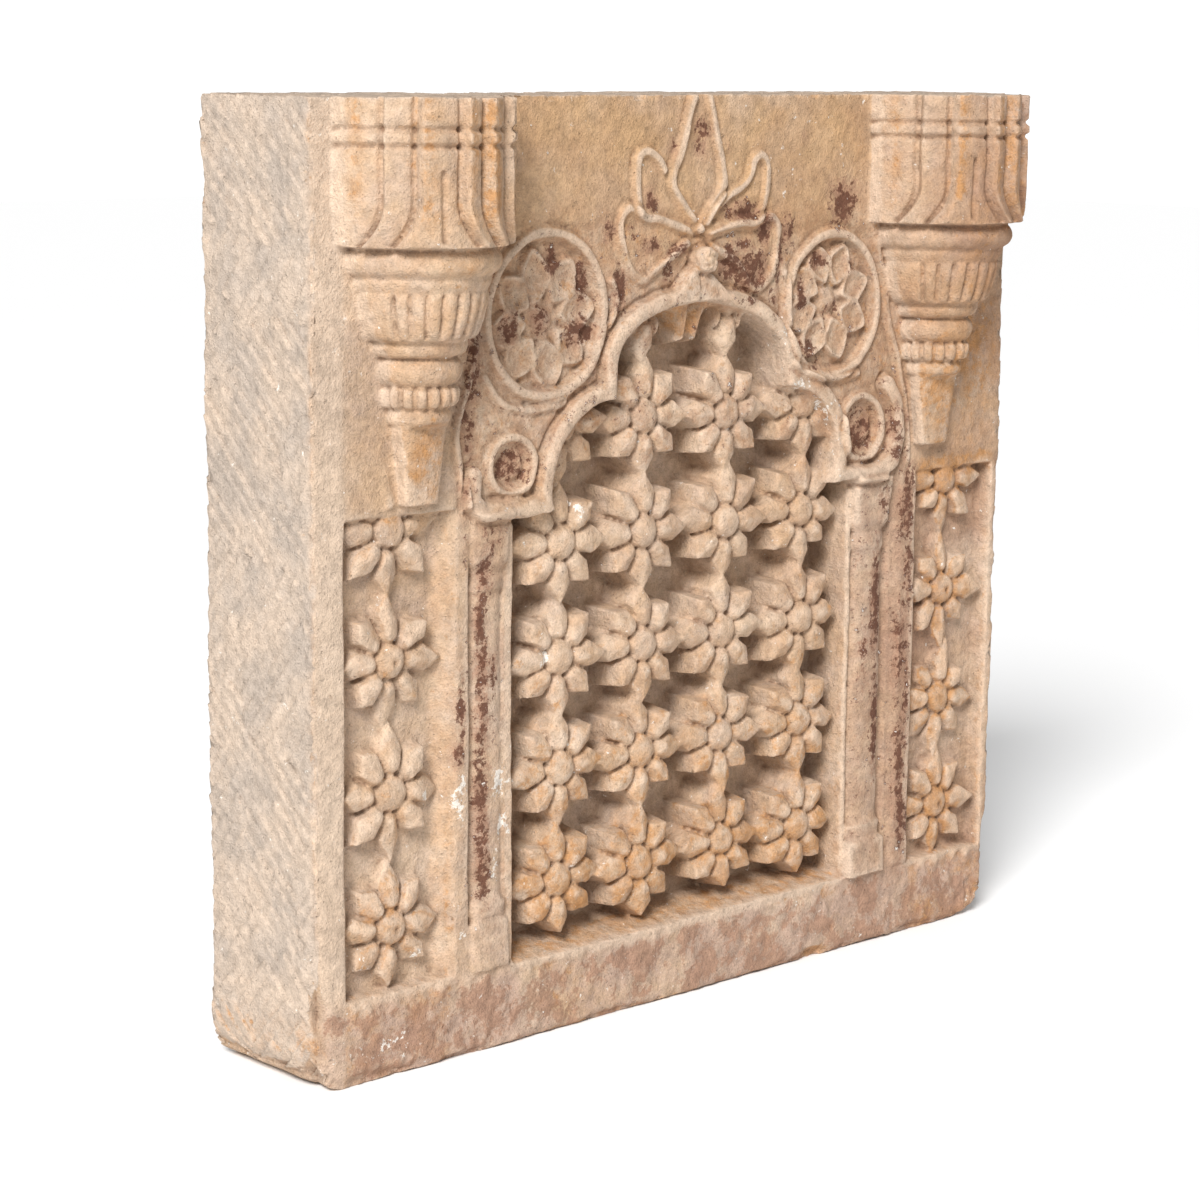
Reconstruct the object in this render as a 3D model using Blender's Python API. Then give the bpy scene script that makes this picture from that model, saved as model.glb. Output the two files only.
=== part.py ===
"""A blind jali panel, carved from one slab of sandstone.

A cusped niche filled with a lattice of eight-petalled flowers stands between two
pilasters, with a strip of flowers on each side. Two half-round capitals hang from the
top edge, and the arch carries roundels, volutes and a leafy finial.
Lengths are in metres. X runs along the face, +Y to the back, +Z up, and the origin is
the middle of the slab's underside.
"""

import math

import bmesh
import bpy
from mathutils import Vector

# The slab
WIDTH = 0.600
HEIGHT = 0.572
DEPTH = 0.102
EDGE_WEAR = 0.004

# Across the face, from each edge of the slab inwards to the niche
LEFT_BORDER = 0.025
RIGHT_BORDER = 0.010
LEFT_PANEL = 0.076
RIGHT_PANEL = 0.076
LEFT_STRIP = 0.019
RIGHT_STRIP = 0.026
LEFT_PILASTER = 0.035
RIGHT_PILASTER = 0.040

# Up the face
BASE_BAND = 0.050
LEFT_PANEL_HEIGHT = 0.283
RIGHT_PANEL_HEIGHT = 0.271
LEFT_FOOT = 0.325
RIGHT_FOOT = 0.322
ARCH_TOP = 0.444

# How deep the ground lies behind the face
NICHE_DEPTH = 0.034
PANEL_DEPTH = 0.011
PILASTER_SINK = 0.006
SILL_SLOPE = 0.008

# The cusped arch: a round lobe on each side, a step, then a flat oval crown
LEFT_END_BLOCK = 0.026
RIGHT_END_BLOCK = 0.018
LEFT_LOBE = 0.053
RIGHT_LOBE = 0.046
LEFT_LOBE_LIFT = 0.012
RIGHT_LOBE_LIFT = 0.020
LEFT_CUSP_STEP = 0.018
RIGHT_CUSP_STEP = 0.010
ARCH_BAND_WIDTH = 0.009
ARCH_BAND_RISE = 0.005
LEFT_LOBE_END = 191
RIGHT_LOBE_END = -26
LEFT_SPRING_DROP = 0.003
ARC_CUTS = 6

# The flowers
FLOWER_PITCH = 0.0705
FIRST_ROW = 0.044
FLOWER_SETBACK = 0.003
PETALS = 8
PETAL_HALF_WIDTH = 0.0080
PETAL_SHOULDER = 0.0240
PETAL_REACH = 0.0345
PETAL_ROOT = 0.0135
PETAL_OVERLAP = 0.0060
PETAL_FALL = 0.0030
BUTTON_RADIUS = 0.0105
BUTTON_RISE = 0.0025
BUTTON_FOOT = 0.9
BUTTON_CROWN = 0.62
BUTTON_CROWN_RISE = 0.6
ROOT_FALL = 1.3
BUTTON_FOOT_FALL = 0.7

# The flower strips: distance of the centres from the slab's edge, and their spacing
LEFT_STRIP_CENTRE = 0.060
RIGHT_STRIP_CENTRE = 0.054
LEFT_STRIP_PITCH = 0.0783
RIGHT_STRIP_PITCH = 0.0753
STRIP_FIRST_ROW = 0.040
STRIP_FLOWERS = 4

# The pilasters, from the base band upwards
PILASTER_BASE = 0.032
PILASTER_TORUS = 0.010
PILASTER_RING = 0.009
PILASTER_CAPITAL = 0.034
PILASTER_STEP = 0.009
PILASTER_RISE = 0.002
SHAFT_WAIST = 0.001
CAPITAL_JOINT = 0.002
ROUND_SIDES = 8
SQUARE_SIDES = 4

# The raised fillet beside the right pilaster, and the slim ones that bound the spandrels
FILLET_WIDTH = 0.018
FILLET_GAP = 0.002
FILLET_RISE = 0.002
BAND_SHOULDER = 0.42
BAND_SHOULDER_RISE = 0.35
EDGE_FILLET_WIDTH = 0.005
LEFT_EDGE_FILLET = ((-0.170, 0.425), (-0.181, 0.400), (-0.189, 0.375), (-0.187, 0.335))
RIGHT_EDGE_FILLET = ((0.176, 0.425), (0.188, 0.400), (0.196, 0.375), (0.200, 0.330))

# The roundels and volutes
ROUNDEL_RING = 0.006
RELIEF_RISE = 0.004
RELIEF_SINK = 0.003
LEFT_ROUNDEL = (-0.122, 0.443)
RIGHT_ROUNDEL = (0.127, 0.437)
ROUNDEL_HALF_WIDTH = 0.046
ROUNDEL_HALF_HEIGHT = 0.049
ROUNDEL_PETAL_REACH = 0.038
LEFT_VOLUTE = (-0.149, 0.354)
RIGHT_VOLUTE = (0.157, 0.355)
VOLUTE_HALF_WIDTH = 0.022
VOLUTE_HALF_HEIGHT = 0.023
ROUNDEL_SIDES = 20
VOLUTE_SIDES = 14
ROUNDEL_FLOWER_RISE = 0.001

# The finial, with its leaves measured from its foot
FINIAL_X = 0.0045
FINIAL_FOOT = 0.487
FINIAL_RISE = 0.0035
LEAF_FACE = 0.82
BUD_RADIUS = 0.007
BUD_HEIGHT = 0.470
BUD_RISE = 0.003
BUD_SIDES = 10
OGEE_DROP = 0.001
SPIRE = ((0.000, 0.003), (0.020, 0.032), (0.006, 0.076), (-0.002, 0.083), (-0.010, 0.076), (-0.022, 0.032))
UPPER_LEAF = (
    (0.007, 0.002),
    (0.048, 0.011),
    (0.053, 0.044),
    (0.045, 0.050),
    (0.035, 0.046),
    (0.028, 0.034),
    (0.016, 0.018),
)
LOWER_LEAF = (
    (0.007, -0.004),
    (0.032, 0.004),
    (0.052, 0.007),
    (0.060, 0.012),
    (0.068, 0.005),
    (0.067, -0.012),
    (0.052, -0.028),
    (0.030, -0.019),
    (0.012, -0.011),
)
OGEE = ((-0.036, -0.043), (-0.014, -0.028), (0.0, -0.008), (0.014, -0.028), (0.038, -0.043))

# The half-round capitals: axis from the slab's edge, and size beside the drawn profile
LEFT_CAPITAL_AXIS = 0.076
RIGHT_CAPITAL_AXIS = 0.079
LEFT_CAPITAL_SCALE = 1.0
RIGHT_CAPITAL_SCALE = 1.07
CAPITAL_BLOCK_RADIUS = 0.056
CAPITAL_BLOCK_HEIGHT = 0.083
CAPITAL_GROOVES = 0.019
CAPITAL_GROOVE_GAP = 0.008
GROOVE_DEPTH = 0.0025
PLEATS = 14
PLEAT_DEPTH = 0.004
FLUTES = 26
FLUTE_DEPTH = 0.0018
TORUS_RADIUS = 0.050
TORUS_HEIGHT = 0.017
COLLAR_RADIUS = 0.044
COLLAR_HEIGHT = 0.008
BOWL_RADIUS = 0.043
BOWL_FOOT_RADIUS = 0.037
BOWL_HEIGHT = 0.029
WAIST_RADIUS = 0.031
WAIST_HEIGHT = 0.010
LOWER_TORUS_RADIUS = 0.028
LOWER_TORUS_HEIGHT = 0.016
BEAD_RING_RADIUS = 0.0245
BEAD_RING_HEIGHT = 0.013
BEADS = 18
BEAD_DEPTH = 0.0022
NECK_RADIUS = 0.021
NECK_HEIGHT = 0.010
PENDANT_TOP_RADIUS = 0.0185
PENDANT_TIP_RADIUS = 0.0135
PENDANT_HEIGHT = 0.046
BLOCK_FOOT_TUCK = 0.006
BLOCK_FOOT_HEIGHT = 0.008
BLOCK_FOOT_PLEAT = 0.2
COLLAR_FLARE = 0.002
BOWL_SHRINK = 0.001
BOWL_LIP = 0.004
WAIST_FLARE = 0.002
NECK_FLARE = 0.001
WIDE_SIDES = 24
NARROW_SIDES = 20

# Old breaks at the corners
CORNER_BREAK = 0.014
BREAK_IN = 0.3
BREAK_UP = 0.35
BLOCK_CHIP = 0.012
CHIP_SLOPE = 1.5

# How far forms run into each other, so that they join, and the small gap that keeps faces apart
BURY = 0.003
CLEAR = 0.0005

FRONT = -DEPTH / 2
BACK = DEPTH / 2
LEFT_EDGE = -WIDTH / 2
RIGHT_EDGE = WIDTH / 2
LEFT_PANEL_X = LEFT_EDGE + LEFT_BORDER
RIGHT_PANEL_X = RIGHT_EDGE - RIGHT_BORDER
LEFT_PILASTER_X = LEFT_PANEL_X + LEFT_PANEL + LEFT_STRIP
RIGHT_PILASTER_X = RIGHT_PANEL_X - RIGHT_PANEL - RIGHT_STRIP
NICHE_LEFT = LEFT_PILASTER_X + LEFT_PILASTER
NICHE_RIGHT = RIGHT_PILASTER_X - RIGHT_PILASTER
NICHE_CENTRE = (NICHE_LEFT + NICHE_RIGHT) / 2

RAISED = []
SUNK = []
CHIPPED = []


def closed_mesh(name, points, faces, group):
    """A closed helper solid from points and faces, kept in its group for the Booleans."""
    mesh = bpy.data.meshes.new(name)
    body = bmesh.new()
    corners = [body.verts.new(point) for point in points]
    for face in faces:
        body.faces.new([corners[index] for index in face])
    bmesh.ops.recalc_face_normals(body, faces=body.faces)
    body.to_mesh(mesh)
    body.free()
    helper = bpy.data.objects.new(name, mesh)
    helper.hide_render = True
    helper.display_type = "WIRE"
    group.append(helper)
    return helper


def layered(name, layers, group):
    """A solid through rings of equal counts, with flat ends."""
    count = len(layers[0])
    points = [point for ring in layers for point in ring]
    faces = []
    for level in range(len(layers) - 1):
        low = level * count
        high = low + count
        for i in range(count):
            after = (i + 1) % count
            faces.append((low + i, low + after, high + after, high + i))
    faces.append(tuple(range(len(points) - count, len(points))))
    faces.append(tuple(range(count)))
    return closed_mesh(name, points, faces, group)


def plate(name, outline, front, back, group):
    """A flat plate with an (x, z) outline, from one depth to another."""
    layers = [[(x, y, z) for x, z in outline] for y in (front, back)]
    return layered(name, layers, group)


def leaf(name, outline, rise, bury):
    """A low leaf whose face is narrower than its foot, so that its edges slope."""
    middle = Vector((sum(x for x, z in outline), sum(z for x, z in outline))) / len(outline)
    face = [tuple(middle + (Vector(point) - middle) * LEAF_FACE) for point in outline]
    layers = [[(x, y, z) for x, z in ring]
              for ring, y in ((outline, FRONT + bury), (outline, FRONT - rise / 2), (face, FRONT - rise))]
    return layered(name, layers, RAISED)


def box(name, left, right, low, high, front, back, group):
    return plate(name, [(left, low), (right, low), (right, high), (left, high)], front, back, group)


def oval(centre, half_width, half_height, count):
    steps = [2 * math.pi * i / count for i in range(count)]
    return [(centre[0] + half_width * math.cos(a), centre[1] + half_height * math.sin(a)) for a in steps]


def arc(centre, half_width, half_height, first, last, count):
    """Points of an oval arc in the face, from one angle to another in degrees."""
    points = []
    for i in range(count + 1):
        angle = math.radians(first + (last - first) * i / count)
        points.append((centre[0] + half_width * math.cos(angle), centre[1] + half_height * math.sin(angle)))
    return points


def rounded_outline(points, cuts=2):
    """A closed smooth curve through a few points."""
    count = len(points)
    outline = []
    for i in range(count):
        before, start, end, after = (Vector(points[(i + k) % count]) for k in (-1, 0, 1, 2))
        for step in range(cuts):
            t = step / cuts
            bend = 2 * before - 5 * start + 4 * end - after
            twist = 3 * start - before - 3 * end + after
            outline.append(tuple((2 * start + (end - before) * t + bend * t * t + twist * t**3) / 2))
    return outline


def arch_outline():
    """The inner edge of the arch from the left foot to the right foot."""
    left = (NICHE_LEFT + LEFT_END_BLOCK + LEFT_LOBE, LEFT_FOOT + LEFT_LOBE_LIFT)
    right = (NICHE_RIGHT - RIGHT_END_BLOCK - RIGHT_LOBE, RIGHT_FOOT + RIGHT_LOBE_LIFT)
    crown_left = left[1] + LEFT_LOBE + LEFT_CUSP_STEP
    crown_right = right[1] + RIGHT_LOBE + RIGHT_CUSP_STEP
    middle = (NICHE_CENTRE, crown_left)
    outline = arc(left, LEFT_LOBE, LEFT_LOBE, LEFT_LOBE_END, 90, ARC_CUTS)
    outline += arc(middle, middle[0] - left[0], ARCH_TOP - crown_left, 180, 90, ARC_CUTS)
    right_middle = (middle[0], crown_right)
    outline += arc(right_middle, right[0] - middle[0], ARCH_TOP - crown_right, 90, 0, ARC_CUTS)[1:]
    outline += arc(right, RIGHT_LOBE, RIGHT_LOBE, 90, RIGHT_LOBE_END, ARC_CUTS)
    return outline


def band(name, path, width, rise, group, closed=False):
    """A ridged moulding laid along a path on the face."""
    count = len(path)
    low = -BAND_SHOULDER_RISE * rise
    edge = BAND_SHOULDER
    profile = ((-0.5, BURY), (-edge, low), (0.0, -rise), (edge, low), (0.5, BURY))
    sections = []
    for i in range(count):
        if closed:
            before, after = path[i - 1], path[(i + 1) % count]
        else:
            before, after = path[max(i - 1, 0)], path[min(i + 1, count - 1)]
        along = Vector((after[0] - before[0], after[1] - before[1])).normalized()
        across = Vector((-along.y, along.x))
        place = Vector(path[i])
        section = []
        for side, depth in profile:
            point = place + across * side * width
            section.append((point.x, FRONT + depth, point.y))
        sections.append(section)
    size = len(sections[0])
    points = [point for section in sections for point in section]
    faces = []
    for i in range(count if closed else count - 1):
        here = i * size
        there = ((i + 1) % count) * size
        for j in range(size):
            after = (j + 1) % size
            faces.append((here + j, here + after, there + after, there + j))
    if not closed:
        faces.append(tuple(range(size)))
        faces.append(tuple(range(len(points) - size, len(points))))
    return closed_mesh(name, points, faces, group)


def flower(name, centre, front, back, joined, reach=PETAL_REACH, size=1.0):
    """Eight ridged petals round a button, cut straight back to the ground.

    joined gives, for each petal that meets a neighbour, its own longer reach.
    """
    rim = []
    ridge = []
    button = []
    crown = []
    for k in range(PETALS):
        angle = 2 * math.pi * k / PETALS
        half_step = math.pi / PETALS
        along = Vector((math.cos(angle), math.sin(angle)))
        across = Vector((-along.y, along.x))
        tip = joined.get(k, reach)
        root = Vector((math.cos(angle - half_step), math.sin(angle - half_step))) * PETAL_ROOT * size
        shoulder = along * PETAL_SHOULDER * size
        side = across * PETAL_HALF_WIDTH * size
        rim += [(root, ROOT_FALL), (shoulder - side, 1.0), (along * tip, 1.0), (shoulder + side, 1.0)]
        ridge.append((along * BUTTON_RADIUS * size, 0.0))
        button.append((along * BUTTON_RADIUS * size * BUTTON_FOOT, BUTTON_FOOT_FALL))
        rise = BUTTON_RISE / PETAL_FALL * BUTTON_CROWN_RISE
        crown.append((along * BUTTON_RADIUS * size * BUTTON_CROWN, -rise))
    levels = rim + ridge + button + crown
    points = [(centre[0] + p.x, front + fall * PETAL_FALL, centre[1] + p.y) for p, fall in levels]
    first_ridge = len(rim)
    first_button = first_ridge + PETALS
    first_crown = first_button + PETALS
    first_foot = len(points)
    points += [(centre[0] + p.x, back, centre[1] + p.y) for p, fall in rim]
    faces = []
    for k in range(PETALS):
        after = (k + 1) % PETALS
        root, low, tip, high = (4 * k + j for j in range(4))
        next_root = 4 * after
        inner = first_ridge + k
        next_inner = first_ridge + after
        faces.append((root, low, inner))
        faces.append((low, tip, inner))
        faces.append((tip, high, inner))
        faces.append((high, next_root, inner))
        faces.append((inner, next_root, first_button + k))
        faces.append((next_root, next_inner, first_button + after))
        faces.append((next_root, first_button + after, first_button + k))
        faces.append((first_button + k, first_button + after, first_crown + after, first_crown + k))
    faces.append(tuple(range(first_crown, first_crown + PETALS)))
    for i in range(len(rim)):
        after = (i + 1) % len(rim)
        faces.append((i, after, first_foot + after, first_foot + i))
    faces.append(tuple(range(first_foot, first_foot + len(rim))))
    return closed_mesh(name, points, faces, RAISED)


def inside(point, outline):
    """Whether a point lies inside a closed outline."""
    x, z = point
    crossings = 0
    for (x1, z1), (x2, z2) in zip(outline, outline[1:] + outline[:1]):
        if (z1 > z) != (z2 > z) and x < x1 + (z - z1) * (x2 - x1) / (z2 - z1):
            crossings += 1
    return crossings % 2 == 1


def cut_niche():
    """The deep niche, with a sill that slopes up to the ground."""
    outline = [(NICHE_LEFT, BASE_BAND), (NICHE_LEFT, LEFT_FOOT - LEFT_SPRING_DROP)]
    outline += arch_outline()
    outline += [(NICHE_RIGHT, RIGHT_FOOT), (NICHE_RIGHT, BASE_BAND)]
    cutter = plate("niche_cut", outline, FRONT - NICHE_DEPTH, FRONT + NICHE_DEPTH, SUNK)
    slope = SILL_SLOPE / NICHE_DEPTH
    for vertex in cutter.data.vertices:
        if abs(vertex.co.z - BASE_BAND) < 1e-6:
            vertex.co.z += slope * (vertex.co.y - FRONT)
    return outline


def carve_lattice(niche):
    """The flower lattice: square rows and columns, each petal on the grid lines meeting its neighbour."""
    columns = int((NICHE_RIGHT - NICHE_LEFT) / FLOWER_PITCH)
    rows = int((ARCH_TOP - BASE_BAND - FIRST_ROW) / FLOWER_PITCH) + 2
    for row in range(rows):
        for column in range(columns):
            x = NICHE_CENTRE + (column - (columns - 1) / 2) * FLOWER_PITCH
            z = BASE_BAND + FIRST_ROW + row * FLOWER_PITCH
            ring = oval((x, z), PETAL_REACH, PETAL_REACH, PETALS)
            if not any(inside(point, niche) for point in ring + [(x, z)]):
                continue
            long = FLOWER_PITCH / 2 + PETAL_OVERLAP
            joined = {2: long}
            if row > 0:
                joined[6] = long
            if column > 0:
                joined[4] = long
            if column < columns - 1:
                joined[0] = long
            bury = BURY * (1 + (row + column) % 2) / 2
            back = FRONT + NICHE_DEPTH + bury
            flower(f"flower_{row}_{column}", (x, z), FRONT + FLOWER_SETBACK, back, joined)


def carve_strip(name, edge, direction, border, width, height, centre, pitch):
    """A sunk strip beside a pilaster, with a column of joined flowers."""
    outer = edge + direction * border
    inner = outer + direction * width
    left, right = sorted((outer, inner))
    top = BASE_BAND + height
    box(f"{name}_cut", left, right, BASE_BAND, top, FRONT - PANEL_DEPTH, FRONT + PANEL_DEPTH, SUNK)
    x = edge + direction * centre
    long = pitch / 2 + PETAL_OVERLAP
    for row in range(STRIP_FLOWERS):
        z = BASE_BAND + STRIP_FIRST_ROW + row * pitch
        joined = {2: long}
        if row > 0:
            joined[6] = long
        bury = BURY * (1 + row % 2) / 2
        flower(f"{name}_{row}", (x, z), FRONT, FRONT + PANEL_DEPTH + bury, joined)


def carve_pilaster(name, outer, inner, foot):
    """A slim rounded shaft in a shallow sinking, with a base, a torus, a ring and a capital."""
    toward = 1 if inner > outer else -1
    left, right = sorted((outer, inner + toward * BURY))
    box(f"{name}_sinking", left, right, BASE_BAND, foot, FRONT - PILASTER_SINK, FRONT + PILASTER_SINK, SUNK)
    width = abs(inner - outer)
    middle = outer + toward * (width - PILASTER_STEP) / 2
    depth = FRONT + PILASTER_SINK + BURY
    base_top = BASE_BAND + PILASTER_BASE
    ring_low = foot - PILASTER_CAPITAL - PILASTER_RING
    shaft = (width - PILASTER_STEP) / 2
    wide = shaft + PILASTER_STEP / 2
    levels = (
        ("base", BASE_BAND - BURY, base_top, wide, SQUARE_SIDES),
        ("torus", base_top, base_top + PILASTER_TORUS, shaft + PILASTER_STEP / 3, ROUND_SIDES),
        ("shaft", base_top - BURY, ring_low + BURY, shaft - SHAFT_WAIST, ROUND_SIDES),
        ("ring", ring_low, ring_low + PILASTER_RING, shaft + PILASTER_STEP / 4, ROUND_SIDES),
        ("capital", ring_low + PILASTER_RING + CAPITAL_JOINT, foot + BURY, wide, SQUARE_SIDES),
    )
    for part, low, high, half, sides in levels:
        rise = PILASTER_SINK + PILASTER_RISE + (half - shaft) / 2
        profile = []
        for i in range(sides + 1):
            angle = math.pi * i / sides
            depth_here = FRONT + PILASTER_SINK - rise * math.sin(angle) ** 0.5
            profile.append((middle - half * math.cos(angle), depth_here))
        if sides == SQUARE_SIDES:
            profile[1] = (middle - half, FRONT + PILASTER_SINK - rise)
            profile[3] = (middle + half, FRONT + PILASTER_SINK - rise)
        ends = [(middle + half, depth), (middle - half, depth)]
        layers = [[(x, y, z) for x, y in profile + ends] for z in (low, high)]
        layered(f"{name}_{part}", layers, RAISED)
    box(f"{name}_step", *sorted((inner - toward * PILASTER_STEP / 2, inner)), BASE_BAND - BURY, foot + BURY,
        FRONT + PILASTER_SINK / 2, depth + 2 * CLEAR, RAISED)


def turned(name, x, profile, segments, ripple=0, depth=0.0, scale=1.0):
    """A turned form on a vertical axis in the face, with an optional ripple round it."""
    layers = []
    for radius, z, share in profile:
        ring = []
        for i in range(segments):
            angle = 2 * math.pi * (i + 0.5) / segments
            wave = depth * share * (0.5 - 0.5 * math.cos(ripple * (angle - math.pi / segments)))
            reach = (radius - wave) * scale
            ring.append((x + reach * math.sin(angle), FRONT - reach * math.cos(angle), z))
        layers.append(ring)
    return layered(name, layers, RAISED)


def bulge(radius, low, height, points=4):
    """A rounded profile: its crown at the given radius."""
    profile = []
    for i in range(points + 1):
        angle = math.pi * i / points - math.pi / 2
        swell = height / 2 * (math.cos(angle) - 1)
        profile.append((radius + swell, low + height / 2 * (1 + math.sin(angle)), 0.0))
    return profile


def carve_capital(name, x, scale):
    """A half-round capital that hangs from the top edge, from its leafy block to its pendant."""
    top = HEIGHT - CLEAR
    low = top - CAPITAL_BLOCK_HEIGHT
    groove_high = top - CAPITAL_GROOVES
    groove_low = groove_high - CAPITAL_GROOVE_GAP
    radius = CAPITAL_BLOCK_RADIUS
    block = [(radius - BLOCK_FOOT_TUCK, low, BLOCK_FOOT_PLEAT), (radius, low + BLOCK_FOOT_HEIGHT, 1.0)]
    for groove in (groove_low, groove_high):
        block += [(radius, groove - GROOVE_DEPTH, 1.0), (radius - GROOVE_DEPTH, groove, 1.0)]
        block += [(radius, groove + GROOVE_DEPTH, 1.0)]
    block += [(radius, top, 1.0)]
    leafy = turned(f"{name}_block", x, block, 2 * PLEATS, PLEATS, PLEAT_DEPTH, scale)
    low -= TORUS_HEIGHT
    turned(f"{name}_torus", x, bulge(TORUS_RADIUS, low, TORUS_HEIGHT + BURY), WIDE_SIDES, scale=scale)
    low -= COLLAR_HEIGHT
    collar = [(COLLAR_RADIUS, low, 0.0), (COLLAR_RADIUS + COLLAR_FLARE, low + COLLAR_HEIGHT + BURY, 0.0)]
    turned(f"{name}_collar", x, collar, WIDE_SIDES, scale=scale)
    low -= BOWL_HEIGHT
    bowl = [(BOWL_FOOT_RADIUS, low, 1.0), (BOWL_RADIUS - BOWL_SHRINK, low + BOWL_HEIGHT / 2, 1.0)]
    bowl += [(BOWL_RADIUS, low + BOWL_HEIGHT - BOWL_LIP, 1.0), (BOWL_RADIUS, low + BOWL_HEIGHT + BURY, 0.0)]
    turned(f"{name}_bowl", x, bowl, 2 * FLUTES, FLUTES, FLUTE_DEPTH, scale)
    low -= WAIST_HEIGHT
    waist = [(WAIST_RADIUS, low, 0.0), (WAIST_RADIUS + WAIST_FLARE, low + WAIST_HEIGHT + BURY, 0.0)]
    turned(f"{name}_waist", x, waist, WIDE_SIDES, scale=scale)
    low -= LOWER_TORUS_HEIGHT
    lower_torus = bulge(LOWER_TORUS_RADIUS, low, LOWER_TORUS_HEIGHT + BURY)
    turned(f"{name}_lower_torus", x, lower_torus, NARROW_SIDES, scale=scale)
    low -= BEAD_RING_HEIGHT
    beads = [(BEAD_RING_RADIUS - BEAD_DEPTH, low, 0.0), (BEAD_RING_RADIUS, low + BEAD_RING_HEIGHT / 2, 1.0)]
    beads += [(BEAD_RING_RADIUS - BEAD_DEPTH, low + BEAD_RING_HEIGHT + BURY, 0.0)]
    turned(f"{name}_beads", x, beads, 2 * BEADS, BEADS, BEAD_DEPTH, scale)
    low -= NECK_HEIGHT
    neck = [(NECK_RADIUS, low, 0.0), (NECK_RADIUS + NECK_FLARE, low + NECK_HEIGHT + BURY, 0.0)]
    turned(f"{name}_neck", x, neck, NARROW_SIDES, scale=scale)
    low -= PENDANT_HEIGHT
    pendant = [(PENDANT_TIP_RADIUS, low, 0.0), (PENDANT_TOP_RADIUS, low + PENDANT_HEIGHT + BURY, 0.0)]
    turned(f"{name}_pendant", x, pendant, NARROW_SIDES, scale=scale)
    return leafy


def carve_ring(name, centre, half_width, half_height, count):
    """A raised ring round a sunk oval."""
    sunk = oval(centre, half_width, half_height, count)
    plate(f"{name}_dish", sunk, FRONT - RELIEF_SINK, FRONT + RELIEF_SINK, SUNK)
    grow = ROUNDEL_RING / 2 - CLEAR
    path = oval(centre, half_width + grow, half_height + grow, count)
    band(f"{name}_ring", path, ROUNDEL_RING, RELIEF_RISE, RAISED, closed=True)


def carve_spandrels():
    """The moulding round the arch, the roundels with their flat flowers, and the volutes."""
    path = arch_outline()
    band("arch_band", offset(path, ARCH_BAND_WIDTH / 2), ARCH_BAND_WIDTH, ARCH_BAND_RISE, RAISED)
    size = ROUNDEL_PETAL_REACH / PETAL_REACH
    for name, centre in (("left_roundel", LEFT_ROUNDEL), ("right_roundel", RIGHT_ROUNDEL)):
        carve_ring(name, centre, ROUNDEL_HALF_WIDTH, ROUNDEL_HALF_HEIGHT, ROUNDEL_SIDES)
        front = FRONT - ROUNDEL_FLOWER_RISE
        flower(f"{name}_flower", centre, front, FRONT + RELIEF_SINK + BURY, {}, ROUNDEL_PETAL_REACH, size)
    for name, centre in (("left_volute", LEFT_VOLUTE), ("right_volute", RIGHT_VOLUTE)):
        carve_ring(name, centre, VOLUTE_HALF_WIDTH, VOLUTE_HALF_HEIGHT, VOLUTE_SIDES)
    band("left_edge_fillet", LEFT_EDGE_FILLET, EDGE_FILLET_WIDTH, FILLET_RISE, RAISED)
    band("right_edge_fillet", RIGHT_EDGE_FILLET, EDGE_FILLET_WIDTH, FILLET_RISE, RAISED)
    outer = RIGHT_PILASTER_X + RIGHT_STRIP - FILLET_GAP
    box("right_fillet", outer - FILLET_WIDTH, outer, BASE_BAND, BASE_BAND + RIGHT_PANEL_HEIGHT,
        FRONT - FILLET_RISE, FRONT + BURY, RAISED)


def offset(path, distance):
    """The same path, moved outwards from the niche."""
    moved = []
    last = len(path) - 1
    for i, point in enumerate(path):
        before = Vector(path[max(i - 1, 0)])
        after = Vector(path[min(i + 1, last)])
        along = (after - before).normalized()
        moved.append((point[0] - along.y * distance, point[1] + along.x * distance))
    return moved


def carve_finial():
    """Four leaves and a spire over the point of the arch, with a bud at their foot."""
    foot = Vector((FINIAL_X, FINIAL_FOOT))
    for name, shape in (("upper_leaf", UPPER_LEAF), ("lower_leaf", LOWER_LEAF)):
        for side in (-1, 1):
            outline = [(foot.x + side * x, foot.y + z) for x, z in rounded_outline(shape)]
            leaf(f"{name}_{'left' if side < 0 else 'right'}", outline, FINIAL_RISE, BURY)
    spire = [(foot.x + x, foot.y + z) for x, z in SPIRE]
    leaf("spire", spire, FINIAL_RISE + CLEAR, BURY + CLEAR)
    ogee = [(foot.x + x, foot.y + z) for x, z in OGEE]
    plate("ogee", ogee, FRONT - ARCH_BAND_RISE + OGEE_DROP, FRONT + BURY + 2 * CLEAR, RAISED)
    bud = oval((FINIAL_X, BUD_HEIGHT), BUD_RADIUS, BUD_RADIUS, BUD_SIDES)
    plate("bud", bud, FRONT - ARCH_BAND_RISE - BUD_RISE, FRONT + BURY + 3 * CLEAR, RAISED)


def break_corners():
    """The old breaks at both bottom corners of the slab."""
    for name, edge, direction in (("left_break", LEFT_EDGE, 1), ("right_break", RIGHT_EDGE, -1)):
        size = CORNER_BREAK
        out = -direction * size
        outline = [(edge + out, -size), (edge + direction * size, -size), (edge + direction * size, 0.0)]
        outline += [(edge + direction * BREAK_IN * size, BREAK_UP * size), (edge, size), (edge + out, size)]
        plate(name, outline, FRONT - size, BACK + size, SUNK)


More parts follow.
